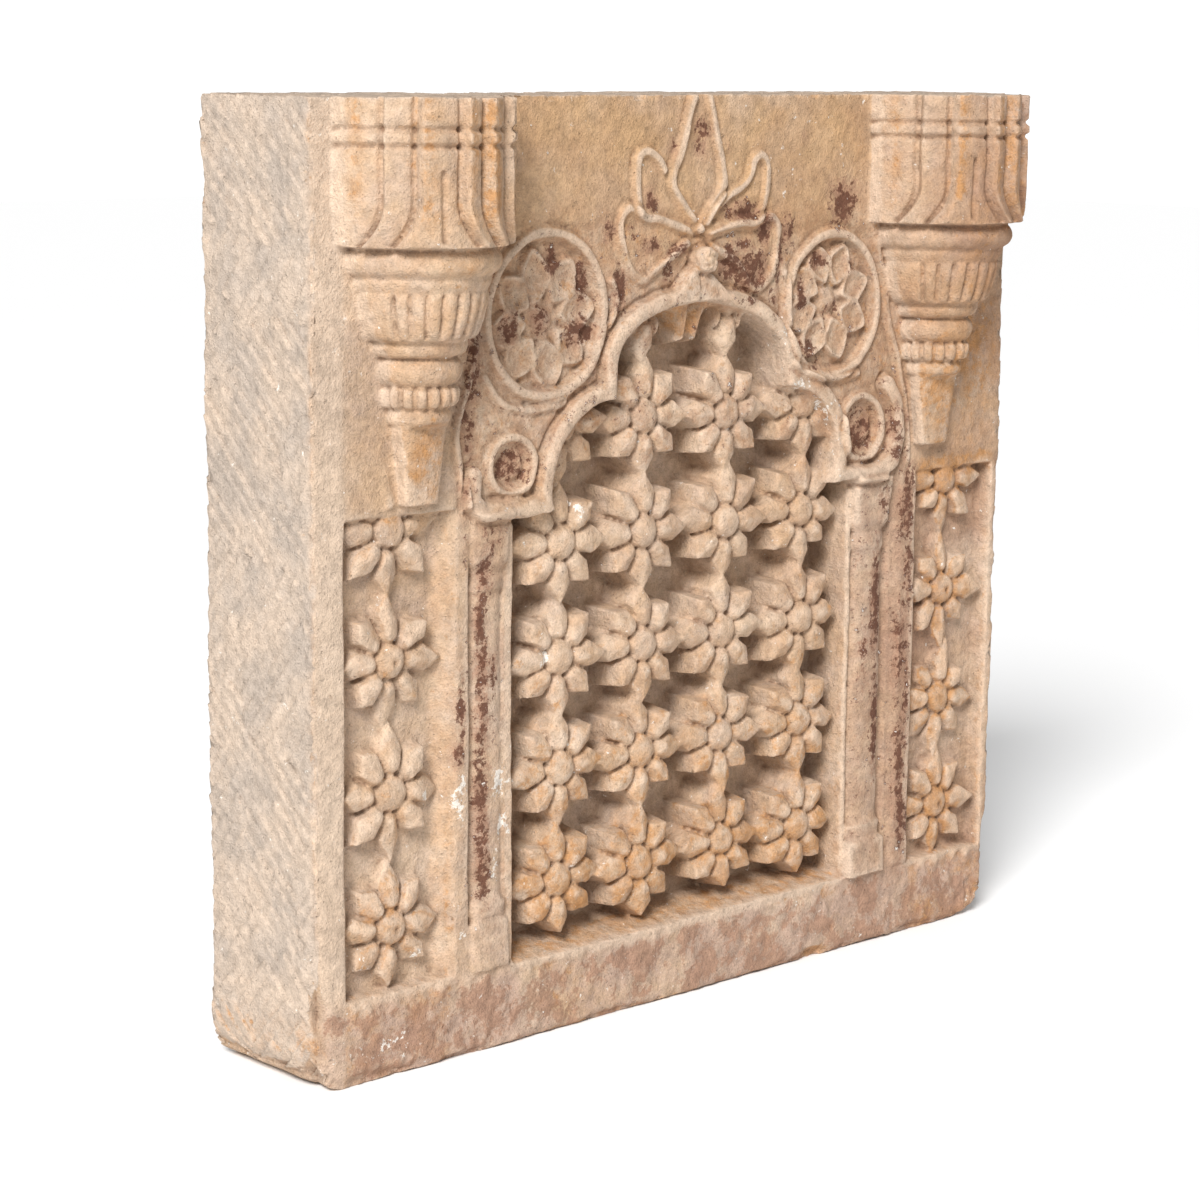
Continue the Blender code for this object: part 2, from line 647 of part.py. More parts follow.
def chip_block(block):
    """The broken outer corner at the top of the right capital's block."""
    x = RIGHT_EDGE - RIGHT_CAPITAL_AXIS
    reach = CAPITAL_BLOCK_RADIUS * RIGHT_CAPITAL_SCALE
    chip = BLOCK_CHIP
    corner = [(x + reach - chip, HEIGHT + chip), (x + reach - chip, HEIGHT)]
    corner += [(x + reach + chip, HEIGHT - CHIP_SLOPE * chip), (x + reach + chip, HEIGHT + chip)]
    cutter = plate("block_chip", corner, FRONT - 2 * reach, FRONT + 2 * reach, CHIPPED)
    bpy.context.scene.collection.objects.link(cutter)
    modifier = block.modifiers.new("chip", "BOOLEAN")
    modifier.operation = "DIFFERENCE"
    modifier.object = cutter
    modifier.solver = "EXACT"


def slab():
    """The squared slab with worn edges."""
    corners = [(x, y) for x, y in ((LEFT_EDGE, FRONT), (RIGHT_EDGE, FRONT), (RIGHT_EDGE, BACK), (LEFT_EDGE, BACK))]
    mesh = bpy.data.meshes.new("jali_panel")
    body = bmesh.new()
    low = body.faces.new([body.verts.new((x, y, 0.0)) for x, y in corners])
    raised = bmesh.ops.extrude_face_region(body, geom=[low])
    lifted = [item for item in raised["geom"] if isinstance(item, bmesh.types.BMVert)]
    bmesh.ops.translate(body, verts=lifted, vec=(0.0, 0.0, HEIGHT))
    bmesh.ops.recalc_face_normals(body, faces=body.faces)
    upright = [edge for edge in body.edges if abs(edge.verts[0].co.z - edge.verts[1].co.z) > HEIGHT / 2]
    bmesh.ops.bevel(body, geom=upright, offset=EDGE_WEAR, segments=1, affect="EDGES")
    body.to_mesh(mesh)
    body.free()
    stone = bpy.data.objects.new("jali_panel", mesh)
    bpy.context.scene.collection.objects.link(stone)
    return stone


def sandstone():
    """Warm beige sandstone."""
    material = bpy.data.materials.new("sandstone")
    material.use_nodes = True
    shader = material.node_tree.nodes["Principled BSDF"]
    shader.inputs["Base Color"].default_value = (0.58, 0.42, 0.29, 1.0)
    shader.inputs["Roughness"].default_value = 0.92
    shader.inputs["Metallic"].default_value = 0.0
    return material


def join(stone, name, helpers, operation):
    """A Boolean with a whole collection of helper solids."""
    group = bpy.data.collections.new(name)
    bpy.context.scene.collection.children.link(group)
    for helper in helpers:
        group.objects.link(helper)
    modifier = stone.modifiers.new(name, "BOOLEAN")
    modifier.operation = operation
    modifier.operand_type = "COLLECTION"
    modifier.collection = group
    modifier.solver = "EXACT"


def main():
    for item in list(bpy.data.objects):
        bpy.data.objects.remove(item)
    stone = slab()
    stone.data.materials.append(sandstone())
    niche = cut_niche()
    carve_lattice(niche)
    carve_strip("left_strip", LEFT_EDGE, 1, LEFT_BORDER, LEFT_PANEL, LEFT_PANEL_HEIGHT,
                LEFT_STRIP_CENTRE, LEFT_STRIP_PITCH)
    carve_strip("right_strip", RIGHT_EDGE, -1, RIGHT_BORDER, RIGHT_PANEL, RIGHT_PANEL_HEIGHT,
                RIGHT_STRIP_CENTRE, RIGHT_STRIP_PITCH)
    carve_pilaster("left_pilaster", LEFT_PILASTER_X, NICHE_LEFT, LEFT_FOOT)
    carve_pilaster("right_pilaster", RIGHT_PILASTER_X, NICHE_RIGHT, RIGHT_FOOT)
    carve_spandrels()
    carve_finial()
    carve_capital("left_capital", LEFT_EDGE + LEFT_CAPITAL_AXIS, LEFT_CAPITAL_SCALE)
    chip_block(carve_capital("right_capital", RIGHT_EDGE - RIGHT_CAPITAL_AXIS, RIGHT_CAPITAL_SCALE))
    break_corners()
    join(stone, "sunk", SUNK, "DIFFERENCE")
    join(stone, "raised", RAISED, "UNION")


main()
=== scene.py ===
"""The looks of a carved sandstone jali panel: one stone, worn, stained and partly painted.

The face is carved as heights over a fine grid, the two hanging capitals are turned round
their own axes, and the whole is joined into one closed stone, worn, and thinned to a
mesh that keeps its edges. Lengths in the carving are in millimetres; x runs along the
face and z up it, from the middle of the underside.
"""

import math

import bpy
import numpy as np
from bpy.props import FloatProperty, FloatVectorProperty, IntProperty, PointerProperty
from mathutils import Matrix, Vector


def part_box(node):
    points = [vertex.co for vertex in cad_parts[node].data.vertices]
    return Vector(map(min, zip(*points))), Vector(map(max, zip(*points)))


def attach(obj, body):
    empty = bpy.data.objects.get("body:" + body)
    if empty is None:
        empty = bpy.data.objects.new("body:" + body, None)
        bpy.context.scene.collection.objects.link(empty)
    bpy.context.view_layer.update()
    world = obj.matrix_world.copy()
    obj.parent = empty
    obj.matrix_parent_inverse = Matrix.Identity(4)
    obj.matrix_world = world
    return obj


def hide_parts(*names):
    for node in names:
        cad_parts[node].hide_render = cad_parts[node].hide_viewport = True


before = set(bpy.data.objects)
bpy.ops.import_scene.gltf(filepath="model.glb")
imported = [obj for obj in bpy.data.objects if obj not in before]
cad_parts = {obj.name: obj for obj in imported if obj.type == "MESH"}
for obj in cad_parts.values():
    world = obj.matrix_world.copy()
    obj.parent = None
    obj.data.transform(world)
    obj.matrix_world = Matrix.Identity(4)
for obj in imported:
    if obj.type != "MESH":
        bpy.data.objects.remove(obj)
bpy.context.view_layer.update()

bl_info = {
    "name": "Carved jali panel",
    "version": (1, 0, 0),
    "blender": (4, 5, 0),
    "location": "View3D > Sidebar > Jali",
    "description": "Carves and finishes a sandstone jali panel round its packed solid",
    "category": "Object",
}

NODE = "jali_panel"
LOW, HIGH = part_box(NODE)
MM = 0.001
HALF_WIDTH = (HIGH.x - LOW.x) / 2 / MM
TOP = HIGH.z / MM
BACK = HIGH.y / MM


class JaliSizes(bpy.types.PropertyGroup):
    """The sizes of the carving, in metres."""

    slab_depth: FloatProperty(
        name="Slab depth", description="From the flat back to the plain face", default=0.102, unit="LENGTH"
    )
    niche_depth: FloatProperty(
        name="Niche depth", description="How far the ground of the niche lies behind the face",
        default=0.034, unit="LENGTH",
    )
    strip_depth: FloatProperty(
        name="Strip depth", description="How far the side strips are sunk", default=0.011, unit="LENGTH"
    )
    petal_reach: FloatProperty(
        name="Petal reach", description="From a flower's middle to a free petal's tip",
        default=0.0345, unit="LENGTH",
    )
    grid_step: FloatProperty(
        name="Carving grid", description="Spacing of the heights that the face is carved in",
        default=0.0007, unit="LENGTH",
    )
    skin_step: FloatProperty(
        name="Stone skin", description="Size of the cells that join the stone into one skin",
        default=0.0010, unit="LENGTH",
    )
    triangles: IntProperty(
        name="Triangles", description="How many triangles the finished stone has", default=640000
    )


def colour(name, about, red, green, blue):
    return FloatVectorProperty(
        name=name, description=about, subtype="COLOR", size=4, min=0.0, max=1.0,
        default=(red, green, blue, 1.0),
    )


class JaliColours(bpy.types.PropertyGroup):
    """The colours of the stone and of what is on it."""

    sandstone: colour("Sandstone", "Warm beige of the carved face", 0.475, 0.320, 0.208)
    pale_stone: colour("Pale stone", "Paler beige that clouds the face", 0.640, 0.495, 0.375)
    grey_stone: colour("Grey stone", "Greyer, slightly lilac beige in patches", 0.450, 0.345, 0.280)
    warm_stone: colour("Warm stone", "Yellow-beige mottling", 0.560, 0.385, 0.230)
    side_stone: colour("Side stone", "Greyer beige of the tooled sides", 0.440, 0.364, 0.302)
    ochre: colour("Ochre stain", "Golden stain between the capitals", 0.500, 0.315, 0.170)
    rust: colour("Rust stain", "Orange tint on worn edges", 0.470, 0.235, 0.090)
    # Haze also serves as painted shade on the right of the face.
    haze: colour("Paint haze", "Thin brown film round the paint remains", 0.330, 0.185, 0.120)
    paint: colour("Paint remains", "Dark red-brown of the old paint", 0.125, 0.052, 0.032)
    rose: colour("Rosy soil", "Dusty pink of the base band", 0.455, 0.320, 0.245)
    limewash: colour("Limewash", "Flecks of old limewash", 0.800, 0.750, 0.680)
    # Also painted shade: the material darkens the recesses and creases with this colour, as well as standing
    # for soil in them.
    soil: colour("Soil", "Dust and soil in the hollows", 0.220, 0.130, 0.080)
    floor: colour("Floor", "Plain pale floor", 0.96, 0.96, 0.96)


# Noise and soft steps

NOISE_SIDE = 64
NOISE_TABLE = np.random.default_rng(7).uniform(-1.0, 1.0, NOISE_SIDE**3).astype(np.float32)


def noise(x, z, size, seed, y=0.0):
    """Smooth noise between -1 and 1 whose lumps are about size across."""
    cells = []
    for number, value in enumerate((x, y, z)):
        place = np.asarray(value, np.float32) / size + 11.3 * seed + 5.7 * number
        whole = np.floor(place)
        part = place - whole
        cells.append((whole.astype(np.int64), part * part * (3 - 2 * part)))
    total = 0.0
    for i in (0, 1):
        for j in (0, 1):
            for k in (0, 1):
                index = 0
                weight = 1.0
                for (whole, part), corner in zip(cells, (i, j, k)):
                    index = index * NOISE_SIDE + ((whole + corner) & (NOISE_SIDE - 1))
                    weight = weight * (part if corner else 1 - part)
                total = total + weight * NOISE_TABLE[index]
    return total


def rough(x, z, size, seed, y=0.0, octaves=3):
    """Noise at several sizes, each half as wide and half as strong as the one before."""
    total = 0.0
    for octave in range(octaves):
        total = total + noise(x, z, size / 2**octave, seed + 3 * octave, y) / 2**octave
    return total


def step(low, high, value):
    """A soft step from 0 at low to 1 at high."""
    share = np.clip((value - low) / (high - low), 0.0, 1.0)
    return share * share * (3 - 2 * share)


def between(low, high, value, soft):
    """1 from low to high, with soft ends."""
    return step(low - soft, low + soft, value) * (1 - step(high - soft, high + soft, value))


def blob(x, z, middle, wide, high):
    """A soft round patch, 1 in its middle."""
    return np.exp(-(((x - middle[0]) / wide) ** 2) - ((z - middle[1]) / high) ** 2)


# Lines and outlines in the face

def arc(middle, wide, high, first, last, count):
    angles = np.radians(np.linspace(first, last, count + 1))
    return [(middle[0] + wide * math.cos(a), middle[1] + high * math.sin(a)) for a in angles]


def flowing(points, cuts=5):
    """A smooth open line through a few points."""
    rows = [points[0], *points, points[-1]]
    line = []
    for i in range(len(points) - 1):
        before, start, end, after = (np.array(rows[i + k]) for k in range(4))
        for cut in range(cuts):
            t = cut / cuts
            bend = 2 * before - 5 * start + 4 * end - after
            twist = 3 * start - before - 3 * end + after
            line.append(tuple((2 * start + (end - before) * t + bend * t * t + twist * t**3) / 2))
    line.append(tuple(points[-1]))
    return line


def line_distance(x, z, line):
    """Distance to an open line, and how far along it the nearest place is, from 0 to 1."""
    best = np.full(x.shape, 1e9, np.float32)
    share = np.zeros(x.shape, np.float32)
    count = len(line) - 1
    for i in range(count):
        (x1, z1), (x2, z2) = line[i], line[i + 1]
        along_x, along_z = x2 - x1, z2 - z1
        length = along_x**2 + along_z**2 + 1e-9
        t = np.clip(((x - x1) * along_x + (z - z1) * along_z) / length, 0, 1)
        far = np.hypot(x - x1 - t * along_x, z - z1 - t * along_z)
        nearer = far < best
        best = np.where(nearer, far, best)
        share = np.where(nearer, (i + t) / count, share)
    return best, share


def outline_distance(x, z, outline):
    """Distance to a closed outline, below zero inside it."""
    far, _ = line_distance(x, z, list(outline) + [outline[0]])
    inside = np.zeros(x.shape, bool)
    for (x1, z1), (x2, z2) in zip(outline, list(outline[1:]) + [outline[0]]):
        if z1 == z2:
            continue
        crosses = ((z1 > z) != (z2 > z)) & (x < x1 + (z - z1) * (x2 - x1) / (z2 - z1))
        inside ^= crosses
    return np.where(inside, -far, far)


# Places on the face

NICHE_LEFT, NICHE_RIGHT, SILL = -146.0, 147.5, 50.0
LEFT_SPRING, RIGHT_SPRING = 323.0, 321.5
LEFT_LOBE, LEFT_RADIUS = (-66.0, 337.0), 53.0
RIGHT_LOBE, RIGHT_RADIUS = (84.0, 342.0), 46.0
LEFT_CUSP, RIGHT_CUSP, ARCH_TOP = 408.0, 398.0, 444.0
CROWN_X = 3.0
JOINED_REACH = 38.3
COLUMNS = (-103.5, -34.0, 37.5, 108.5)
ROWS = (94.0, 164.5, 233.0, 304.0, 375.0, 446.0)
LEFT_STRIP_X, LEFT_STRIP_ROWS = -240.0, (91.0, 171.5, 249.5, 326.0)
RIGHT_STRIP_X, RIGHT_STRIP_ROWS = 246.0, (87.0, 162.0, 237.5, 313.5)
LEFT_CAPITAL_X, RIGHT_CAPITAL_X = -224.0, 221.0
# The right capital is a little the larger.
RIGHT_SCALE = 1.07


def arch_line():
    """The inner edge of the arch, from its left foot over the crown to its right foot."""
    line = arc(LEFT_LOBE, LEFT_RADIUS, LEFT_RADIUS, 191, 92, 14)
    line += arc((CROWN_X, LEFT_CUSP), CROWN_X - LEFT_LOBE[0], ARCH_TOP - LEFT_CUSP, 180, 90, 14)
    line += arc((CROWN_X, RIGHT_CUSP), RIGHT_LOBE[0] - CROWN_X, ARCH_TOP - RIGHT_CUSP, 90, 0, 14)[1:]
    line += arc(RIGHT_LOBE, RIGHT_RADIUS, RIGHT_RADIUS, 88, -27, 14)
    return line


def niche_outline():
    left = [(NICHE_LEFT, SILL), (NICHE_LEFT, LEFT_SPRING)]
    return left + arch_line() + [(NICHE_RIGHT, RIGHT_SPRING), (NICHE_RIGHT, SILL)]


class Face:
    """The carved face: heights in millimetres in front of the plain face, over a square grid."""

    def __init__(self, spacing):
        self.x = np.linspace(-HALF_WIDTH, HALF_WIDTH, int(2 * HALF_WIDTH / spacing) + 1)
        self.z = np.linspace(0.0, TOP, int(TOP / spacing) + 1)
        self.wide, self.high = np.meshgrid(self.x.astype(np.float32), self.z.astype(np.float32))
        # Every line on the face wavers a little, as a hand-cut one does.
        wide, high = self.wide, self.high
        self.u = wide + 1.1 * noise(wide, high, 47, 1) + 0.45 * noise(wide, high, 13, 2)
        self.v = high + 1.1 * noise(wide, high, 43, 3) + 0.45 * noise(wide, high, 12, 4)
        self.height = np.zeros(self.wide.shape, np.float32)

    def area(self, left, right, low, high):
        columns = np.searchsorted(self.x, (left, right))
        rows = np.searchsorted(self.z, (low, high))
        return slice(rows[0], rows[1]), slice(columns[0], columns[1])

    def around(self, points, margin):
        xs = [x for x, z in points]
        zs = [z for x, z in points]
        return self.area(min(xs) - margin, max(xs) + margin, min(zs) - margin, max(zs) + margin)

    def place(self, area):
        return self.u[area], self.v[area]

    def raise_to(self, area, height):
        self.height[area] = np.maximum(self.height[area], height)

    def add(self, area, amount):
        self.height[area] += amount


# The plain ground of the face and what is sunk in it

# Outline of the spandrels and the arch together
SPANDRELS = (
    (-186, 330), (-192, 375), (-176, 425), (-176, 478), (-118, 498), (-70, 490), (-46, 462), (-14, 470),
    (24, 470), (52, 458), (76, 486), (128, 492), (172, 476), (182, 425), (200, 380), (204, 328),
)


def dress_face(face):
    """The dressed face, its spandrels a little sunk, and the rough base band."""
    x, z = face.u, face.v
    face.height += 0.5 * rough(x, z, 60, 11) + 0.22 * rough(x, z, 11, 12)
    base = 1 - step(SILL - 4, SILL + 2, z)
    face.height += base * (1.0 * rough(x, z, 26, 13) + 0.85 * rough(x, z, 7, 14))
    area = face.around(SPANDRELS, 6)
    x, z = face.place(area)
    far = outline_distance(x, z, SPANDRELS)
    face.add(area, -1.6 * (1 - step(-3.0, 3.0, far)))


def sink_strip(face, left, right, low, high, depth, fade):
    """A sunk strip with steep sides; its inner side rises in a slope of width fade."""
    area = face.area(min(left, right) - 14, max(left, right) + 14, low - 12, high + 12)
    x, z = face.place(area)
    toward = 1 if right > left else -1
    outer = (x - left) * toward
    inner = (right - x) * toward
    floor = -depth + 0.5 * rough(x, z, 16, 21) + 0.3 * rough(x, z, 5, 22)
    ends = np.minimum(z - low, high - z) * 5
    walls = np.minimum(outer * 6, np.minimum(np.maximum(inner, 0) * depth / fade, ends))
    face.height[area] = np.minimum(face.height[area], np.maximum(-walls, floor))


def sink_pilaster(face, left, right, low, high):
    area = face.area(left - 4, right + 4, low - 4, high + 4)
    x, z = face.place(area)
    walls = np.minimum(np.minimum(x - left, right - x) * 3, np.minimum(z - low, high - z) * 3)
    floor = -5.5 + 0.3 * rough(x, z, 9, 23)
    face.height[area] = np.minimum(face.height[area], np.maximum(-walls, floor))


# Half width of the hood and how far below the crown it ends
HOOD_HALF, HOOD_DROP = 36.0, 32.0


def sink_niche(face, depth):
    """The deep niche with tooled walls, a sloping sill and a scalloped hood under its point."""
    outline = niche_outline()
    area = face.around(outline, 8)
    x, z = face.place(area)
    inside = -outline_distance(x, z, outline)
    ground = -depth + 1.1 * rough(x, z, 19, 31) + 0.6 * rough(x, z, 6, 32)
    walls = 13.0 * inside
    sill = (z - SILL) * 4.0 + 1.5 * rough(x, z, 9, 33)
    walls = np.minimum(walls, np.maximum(sill, 0.0))
    angle = (x - CROWN_X) / HOOD_HALF
    lobes = np.abs(np.sin(2 * math.pi * angle))
    lip = ARCH_TOP - 16 - 9 * lobes - 5 * angle**2
    hood = 9.0 + 0.22 * (ARCH_TOP - z) - 8.0 * lobes + 7.0 * np.maximum(lip - z, 0)
    under_hood = (np.abs(angle) < 1.0) & (z > ARCH_TOP - HOOD_DROP)
    walls = np.where(under_hood, np.minimum(walls, np.maximum(hood, 13 * inside * (angle**2))), walls)
    carved = np.maximum(-walls, ground)
    face.height[area] = np.where(inside > 0, np.minimum(face.height[area], carved), face.height[area])


# Flowers

PETALS = 8
BUTTON = 10.3
ROOT_ALONG, ROOT_WIDE = 12.0, 4.9
SHOULDER, SHOULDER_WIDE = 25.5, 9.3


def flower(face, middle, top, ground, reach, tips, seed, taper=12.0, wild=1.0, limit=None, pit=False):
    """Eight kite-shaped petals round a button, cut back to the ground with steep sides.

    tips gives the reach of some petals, numbered from +x round to +z; the rest have reach.
    wild says how unevenly the petals are cut.
    """
    chance = np.random.default_rng(seed)
    area = face.around([middle], 1.3 * reach + 8)
    x, z = face.place(area)
    shift = chance.normal(0, 0.6, 2)
    x = x - middle[0] - shift[0]
    z = z - middle[1] - shift[1]
    far = np.hypot(x, z)
    turn = 2 * math.pi / PETALS
    angle = np.arctan2(z, x) - chance.normal(0, 0.03)
    skews = chance.normal(0, 0.035 * wild, PETALS)
    number = np.round(angle / turn)
    part = angle - number * turn
    number = number.astype(np.int64) % PETALS
    along = far * np.cos(part - skews[number])
    across = far * np.sin(part - skews[number])
    beside = np.abs(across)
    reaches = np.array([tips.get(k, reach + chance.normal(0, 1.1 * wild)) for k in range(PETALS)])
    half = (SHOULDER_WIDE + chance.normal(0, 0.35 * wild, PETALS))[number]
    tip = reaches[number]
    lift = chance.normal(0, 0.6 * wild, PETALS)[number]
    lean = chance.normal(0, 0.07 * wild, PETALS)[number]
    drop = (0.10 + chance.normal(0, 0.04 * wild, PETALS))[number]
    shoulder = np.minimum(SHOULDER + chance.normal(0, 0.8, PETALS)[number], tip - half)
    rise = np.hypot(shoulder - ROOT_ALONG, half - ROOT_WIDE)
    flank = ((beside - ROOT_WIDE) * (shoulder - ROOT_ALONG) - (along - ROOT_ALONG) * (half - ROOT_WIDE)) / rise
    fall = np.hypot(tip - shoulder, half)
    point = ((beside - half) * (tip - shoulder) + (along - shoulder) * half) / fall
    outside = np.maximum(point, np.where(far > 19, flank, -9.0))
    crest = top + lift - 1.2 * (1 - step(11, 16, along)) - drop * np.maximum(along - 19, 0) * 1.6
    roof = crest - 0.27 * beside + lean * across - 0.010 * beside**2
    gap = np.maximum(far * np.sin(np.maximum(turn / 2 - np.abs(part), 0)), 0)
    roof = roof - (2.7 + 3.3 * step(14, 27, far)) * np.exp(-((gap / 1.25) ** 2))
    roof = roof - 2.7 * np.exp(-(((far - BUTTON - 1.0) / 1.2) ** 2))
    button = top + 1.0 + chance.normal(0, 0.4) - 3.0 * (far / BUTTON) ** 3
    if pit:
        button = button - 3.0 * np.exp(-(((x - 1.5) ** 2 + (z + 1.0) ** 2) / 2.2))
    surface = np.where(far < BUTTON, button, roof)
    surface = surface - 0.7 * step(-1.1, 0.2, outside) - taper * np.maximum(outside, 0)
    if limit is not None:
        surface = np.where(limit(x + middle[0], z + middle[1]), surface, -1e3)
    face.raise_to(area, np.maximum(surface, ground - 3))


def carve_lattice(face, depth, reach):
    """The square lattice of flowers, each joined to its neighbours by four of its petals."""
    outline = niche_outline()
    for row, z in enumerate(ROWS):
        for column, x in enumerate(COLUMNS):
            ring = arc((x, z), reach * 0.8, reach * 0.8, 0, 315, 7)
            near = outline_distance(np.array([p[0] for p in ring]), np.array([p[1] for p in ring]), outline)
            if near.min() > -2:
                continue
            tips = {2: JOINED_REACH, 4: JOINED_REACH}
            if row > 0:
                tips[6] = JOINED_REACH
            if column < len(COLUMNS) - 1:
                tips[0] = JOINED_REACH
            if column == 0:
                tips[4] = JOINED_REACH + 6
            # Of the flowers over the crown only the petals that hang from the hood are cut.
            hangs = (lambda u, v, x=x, z=z: (np.abs(u - x) < 10) & (v < z - 6)) if z > ARCH_TOP else None
            flower(face, (x, z), -3.4, -depth, reach, tips, 100 + 10 * row + column, limit=hangs)


def carve_strips(face, depth, reach):
    for x, rows, seed in ((LEFT_STRIP_X, LEFT_STRIP_ROWS, 200), (RIGHT_STRIP_X, RIGHT_STRIP_ROWS, 300)):
        for row, z in enumerate(rows):
            tips = {2: JOINED_REACH + 4, 4: 36.0, 0: 39.5, 6: JOINED_REACH + 4 if row else 37.0}
            flower(face, (x, z), -0.2, -depth, reach, tips, seed + row, taper=5.0, wild=1.6, pit=row % 2 == 0)


# Pilasters and fillets

def pilaster(face, middle, low, high, parts):
    """A shaft with its mouldings: parts gives (height, half width, squareness) from the foot up."""
    area = face.area(middle - 26, middle + 26, low - 2, high + 2)
    x, z = face.place(area)
    heights = [part[0] for part in parts]
    half = np.interp(z, heights, [part[1] for part in parts])
    square = np.interp(z, heights, [part[2] for part in parts])
    side = np.clip(np.abs(x - middle) / half, 0, 1)
    bulge = (1 - side**square) ** (1 / square)
    body = -6.0 + (6.2 + 0.80 * (half - 13)) * bulge + 0.25 * rough(x, z, 8, 41)
    body = np.where((np.abs(x - middle) < half) & (z > low) & (z < high), body, -1e3)
    face.raise_to(area, body)


LEFT_SHAFT = (
    (50, 15.5, 7), (80, 15.0, 7), (83, 12.5, 4), (85, 14.5, 2.2), (92, 15.0, 2.2), (95, 13.0, 2.2),
    (97, 11.5, 2.4), (180, 12.0, 2.6), (280, 11.5, 2.4), (282, 12.0, 2), (284, 14.0, 2), (291, 13.5, 2),
    (293, 11.5, 3), (300, 14.5, 6), (326, 15.5, 7), (330, 15.5, 7),
)
RIGHT_SHAFT = (
    (50, 19.0, 7), (74, 18.5, 7), (77, 15.5, 4), (79, 17.5, 2.2), (85, 18.0, 2.2), (88, 15.5, 2.2),
    (91, 14.5, 2.4), (180, 15.0, 2.4), (272, 14.5, 2.4), (274, 16.5, 2), (282, 16.5, 2), (285, 14.0, 3),
    (292, 17.0, 6), (322, 19.0, 7),
)


def carve_pilasters(face):
    pilaster(face, -166.0, 51, 330, LEFT_SHAFT)
    pilaster(face, 168.5, 50, 322, RIGHT_SHAFT)
    for left, right, low, high, top in ((-153.5, -146.5, 51, 324, -2.4), (148.5, 151.5, 51, 321, -2.0)):
        area = face.area(left - 3, right + 3, low, high)
        x, z = face.place(area)
        face.raise_to(area, top - 2.5 * np.maximum(np.maximum(left - x, x - right), 0) ** 2)
    area = face.area(186, 218, 48, 326)
    x, z = face.place(area)
    face.add(area, 1.7 * between(196, 212, x, 1.4) * between(51, 322, z, 2.0))
    face.add(area, -1.6 * between(189, 193, x, 1.4) * between(51, 326, z, 2.0))


def cord_line(face, line, width, rise, seed=0, ends=0.04, groove=1.0):
    """A raised rounded moulding along a line, with a shallow groove on both sides."""
    area = face.around(line, width + 5)
    x, z = face.place(area)
    far, share = line_distance(x, z, line)
    half = width / 2 * (1 + 0.12 * noise(x, z, 14, 51 + seed))
    fade = step(0, ends, share) * step(0, ends, 1 - share) if ends else 1.0
    round_top = np.sqrt(np.clip(1 - (far / half) ** 2, 0, 1))
    face.add(area, (rise * round_top - groove * np.exp(-(((far - half - 1.0) / 1.2) ** 2))) * fade)


# How far the middle of the arch moulding lies outside the inner edge
BAND_OUT = 5.0


def carve_arch(face):
    """The broad moulding round the arch, rising to a point under the bud, and round both end blocks."""
    line = arch_line()
    count = len(line)
    band = []
    for i, (x, z) in enumerate(line):
        before, after = np.array(line[max(i - 1, 0)]), np.array(line[min(i + 1, count - 1)])
        run = (after - before) / np.hypot(*(after - before))
        band.append((x - run[1] * BAND_OUT, z + run[0] * BAND_OUT))
    band = [(-180, 352), (-181, 337), (-173, 330), (-140, 329.5), (-124, 331.5)] + band
    band += [(132, 326), (146, 324), (172, 325), (187, 332), (192, 348), (190, 368), (181, 382)]
    area = face.around(band, 14)
    x, z = face.place(area)
    far, share = line_distance(x, z, band)
    half = 6.0 + 1.4 * step(0.62, 0.72, share) - 1.2 * step(0.86, 0.93, share)
    profile = np.clip(1 - (far / half) ** 2, 0, 1) ** 0.32
    inside = -outline_distance(x, z, niche_outline())
    keep = inside < 0.4
    face.add(area, np.where(keep, 6.0 * profile - 2.4 * np.exp(-(((far - half - 1.2) / 1.4) ** 2)), 0))
    ogee = [(-40, 443.5), (-18, 452), (-6, 463), (4, 476), (13, 463), (26, 452), (46, 443.5), (3, 444)]
    area = face.around(ogee, 6)
    x, z = face.place(area)
    far = outline_distance(x, z, ogee)
    lift = 5.0 * (1 - step(-1.4, 0.6, far)) - 2.4 * np.exp(-(((x - 2.5) / 1.2) ** 2)) * (z > 440)
    inside = -outline_distance(x, z, niche_outline())
    face.raise_to(area, np.where((inside < 0.4) & (far < 1.0), lift - 0.5, -1e3))
    face.add(area, -1.8 * np.exp(-(((far - 1.8) / 1.2) ** 2)) * (z > 451))
    area = face.area(-9, 19, 458, 486)
    x, z = face.place(area)
    far = np.hypot(x - 5.5, z - 471)
    swirl = np.arctan2(z - 471, x - 5.5)
    bud = 10.6 - 3.4 * (far / 8.4) ** 2 - 1.0 * step(2.6, 4.0, far) * np.cos(5 * swirl + far)
    bud = bud - 1.2 * np.exp(-(((far - 3.0) / 1.0) ** 2))
    face.add(area, -1.8 * np.exp(-(((far - 9.6) / 1.2) ** 2)))
    face.raise_to(area, np.where(far < 8.4, bud, -1e3))


# The finial: raised fillets, of a width and a rise, round dished leaves

LEAF_FILLET, SPIRE_FILLET = (6.6, 2.7), (6.8, 3.0)
SPIRE_LEFT = ((-3, 571), (-7, 560), (-13, 540), (-20, 519), (-10, 505), (2, 490))
SPIRE_RIGHT = ((10, 571), (13, 560), (18, 540), (23, 517), (13, 504), (3, 490))
UPPER_LEFT = (
    (-25, 524), (-32, 533), (-41, 538), (-49, 534), (-50, 516), (-47, 499), (-30, 496), (-12, 491),
    (0, 488),
)
UPPER_RIGHT = (
    (7, 490), (14, 500), (25, 509), (38, 514), (46, 521), (49, 531), (57, 534), (62, 526), (61, 508),
    (54, 494), (38, 493), (20, 491), (8, 488),
)
LOWER_LEFT = (
    (-47, 499), (-57, 504), (-64, 495), (-62, 479), (-53, 465), (-43, 459), (-28, 468), (-15, 477),
    (-4, 483),
)
LOWER_RIGHT = (
    (9, 485), (22, 488), (36, 491), (50, 490), (58, 493), (68, 495), (74, 486), (74, 470), (69, 458),
    (58, 451), (48, 454), (37, 467), (24, 474), (12, 479),
)
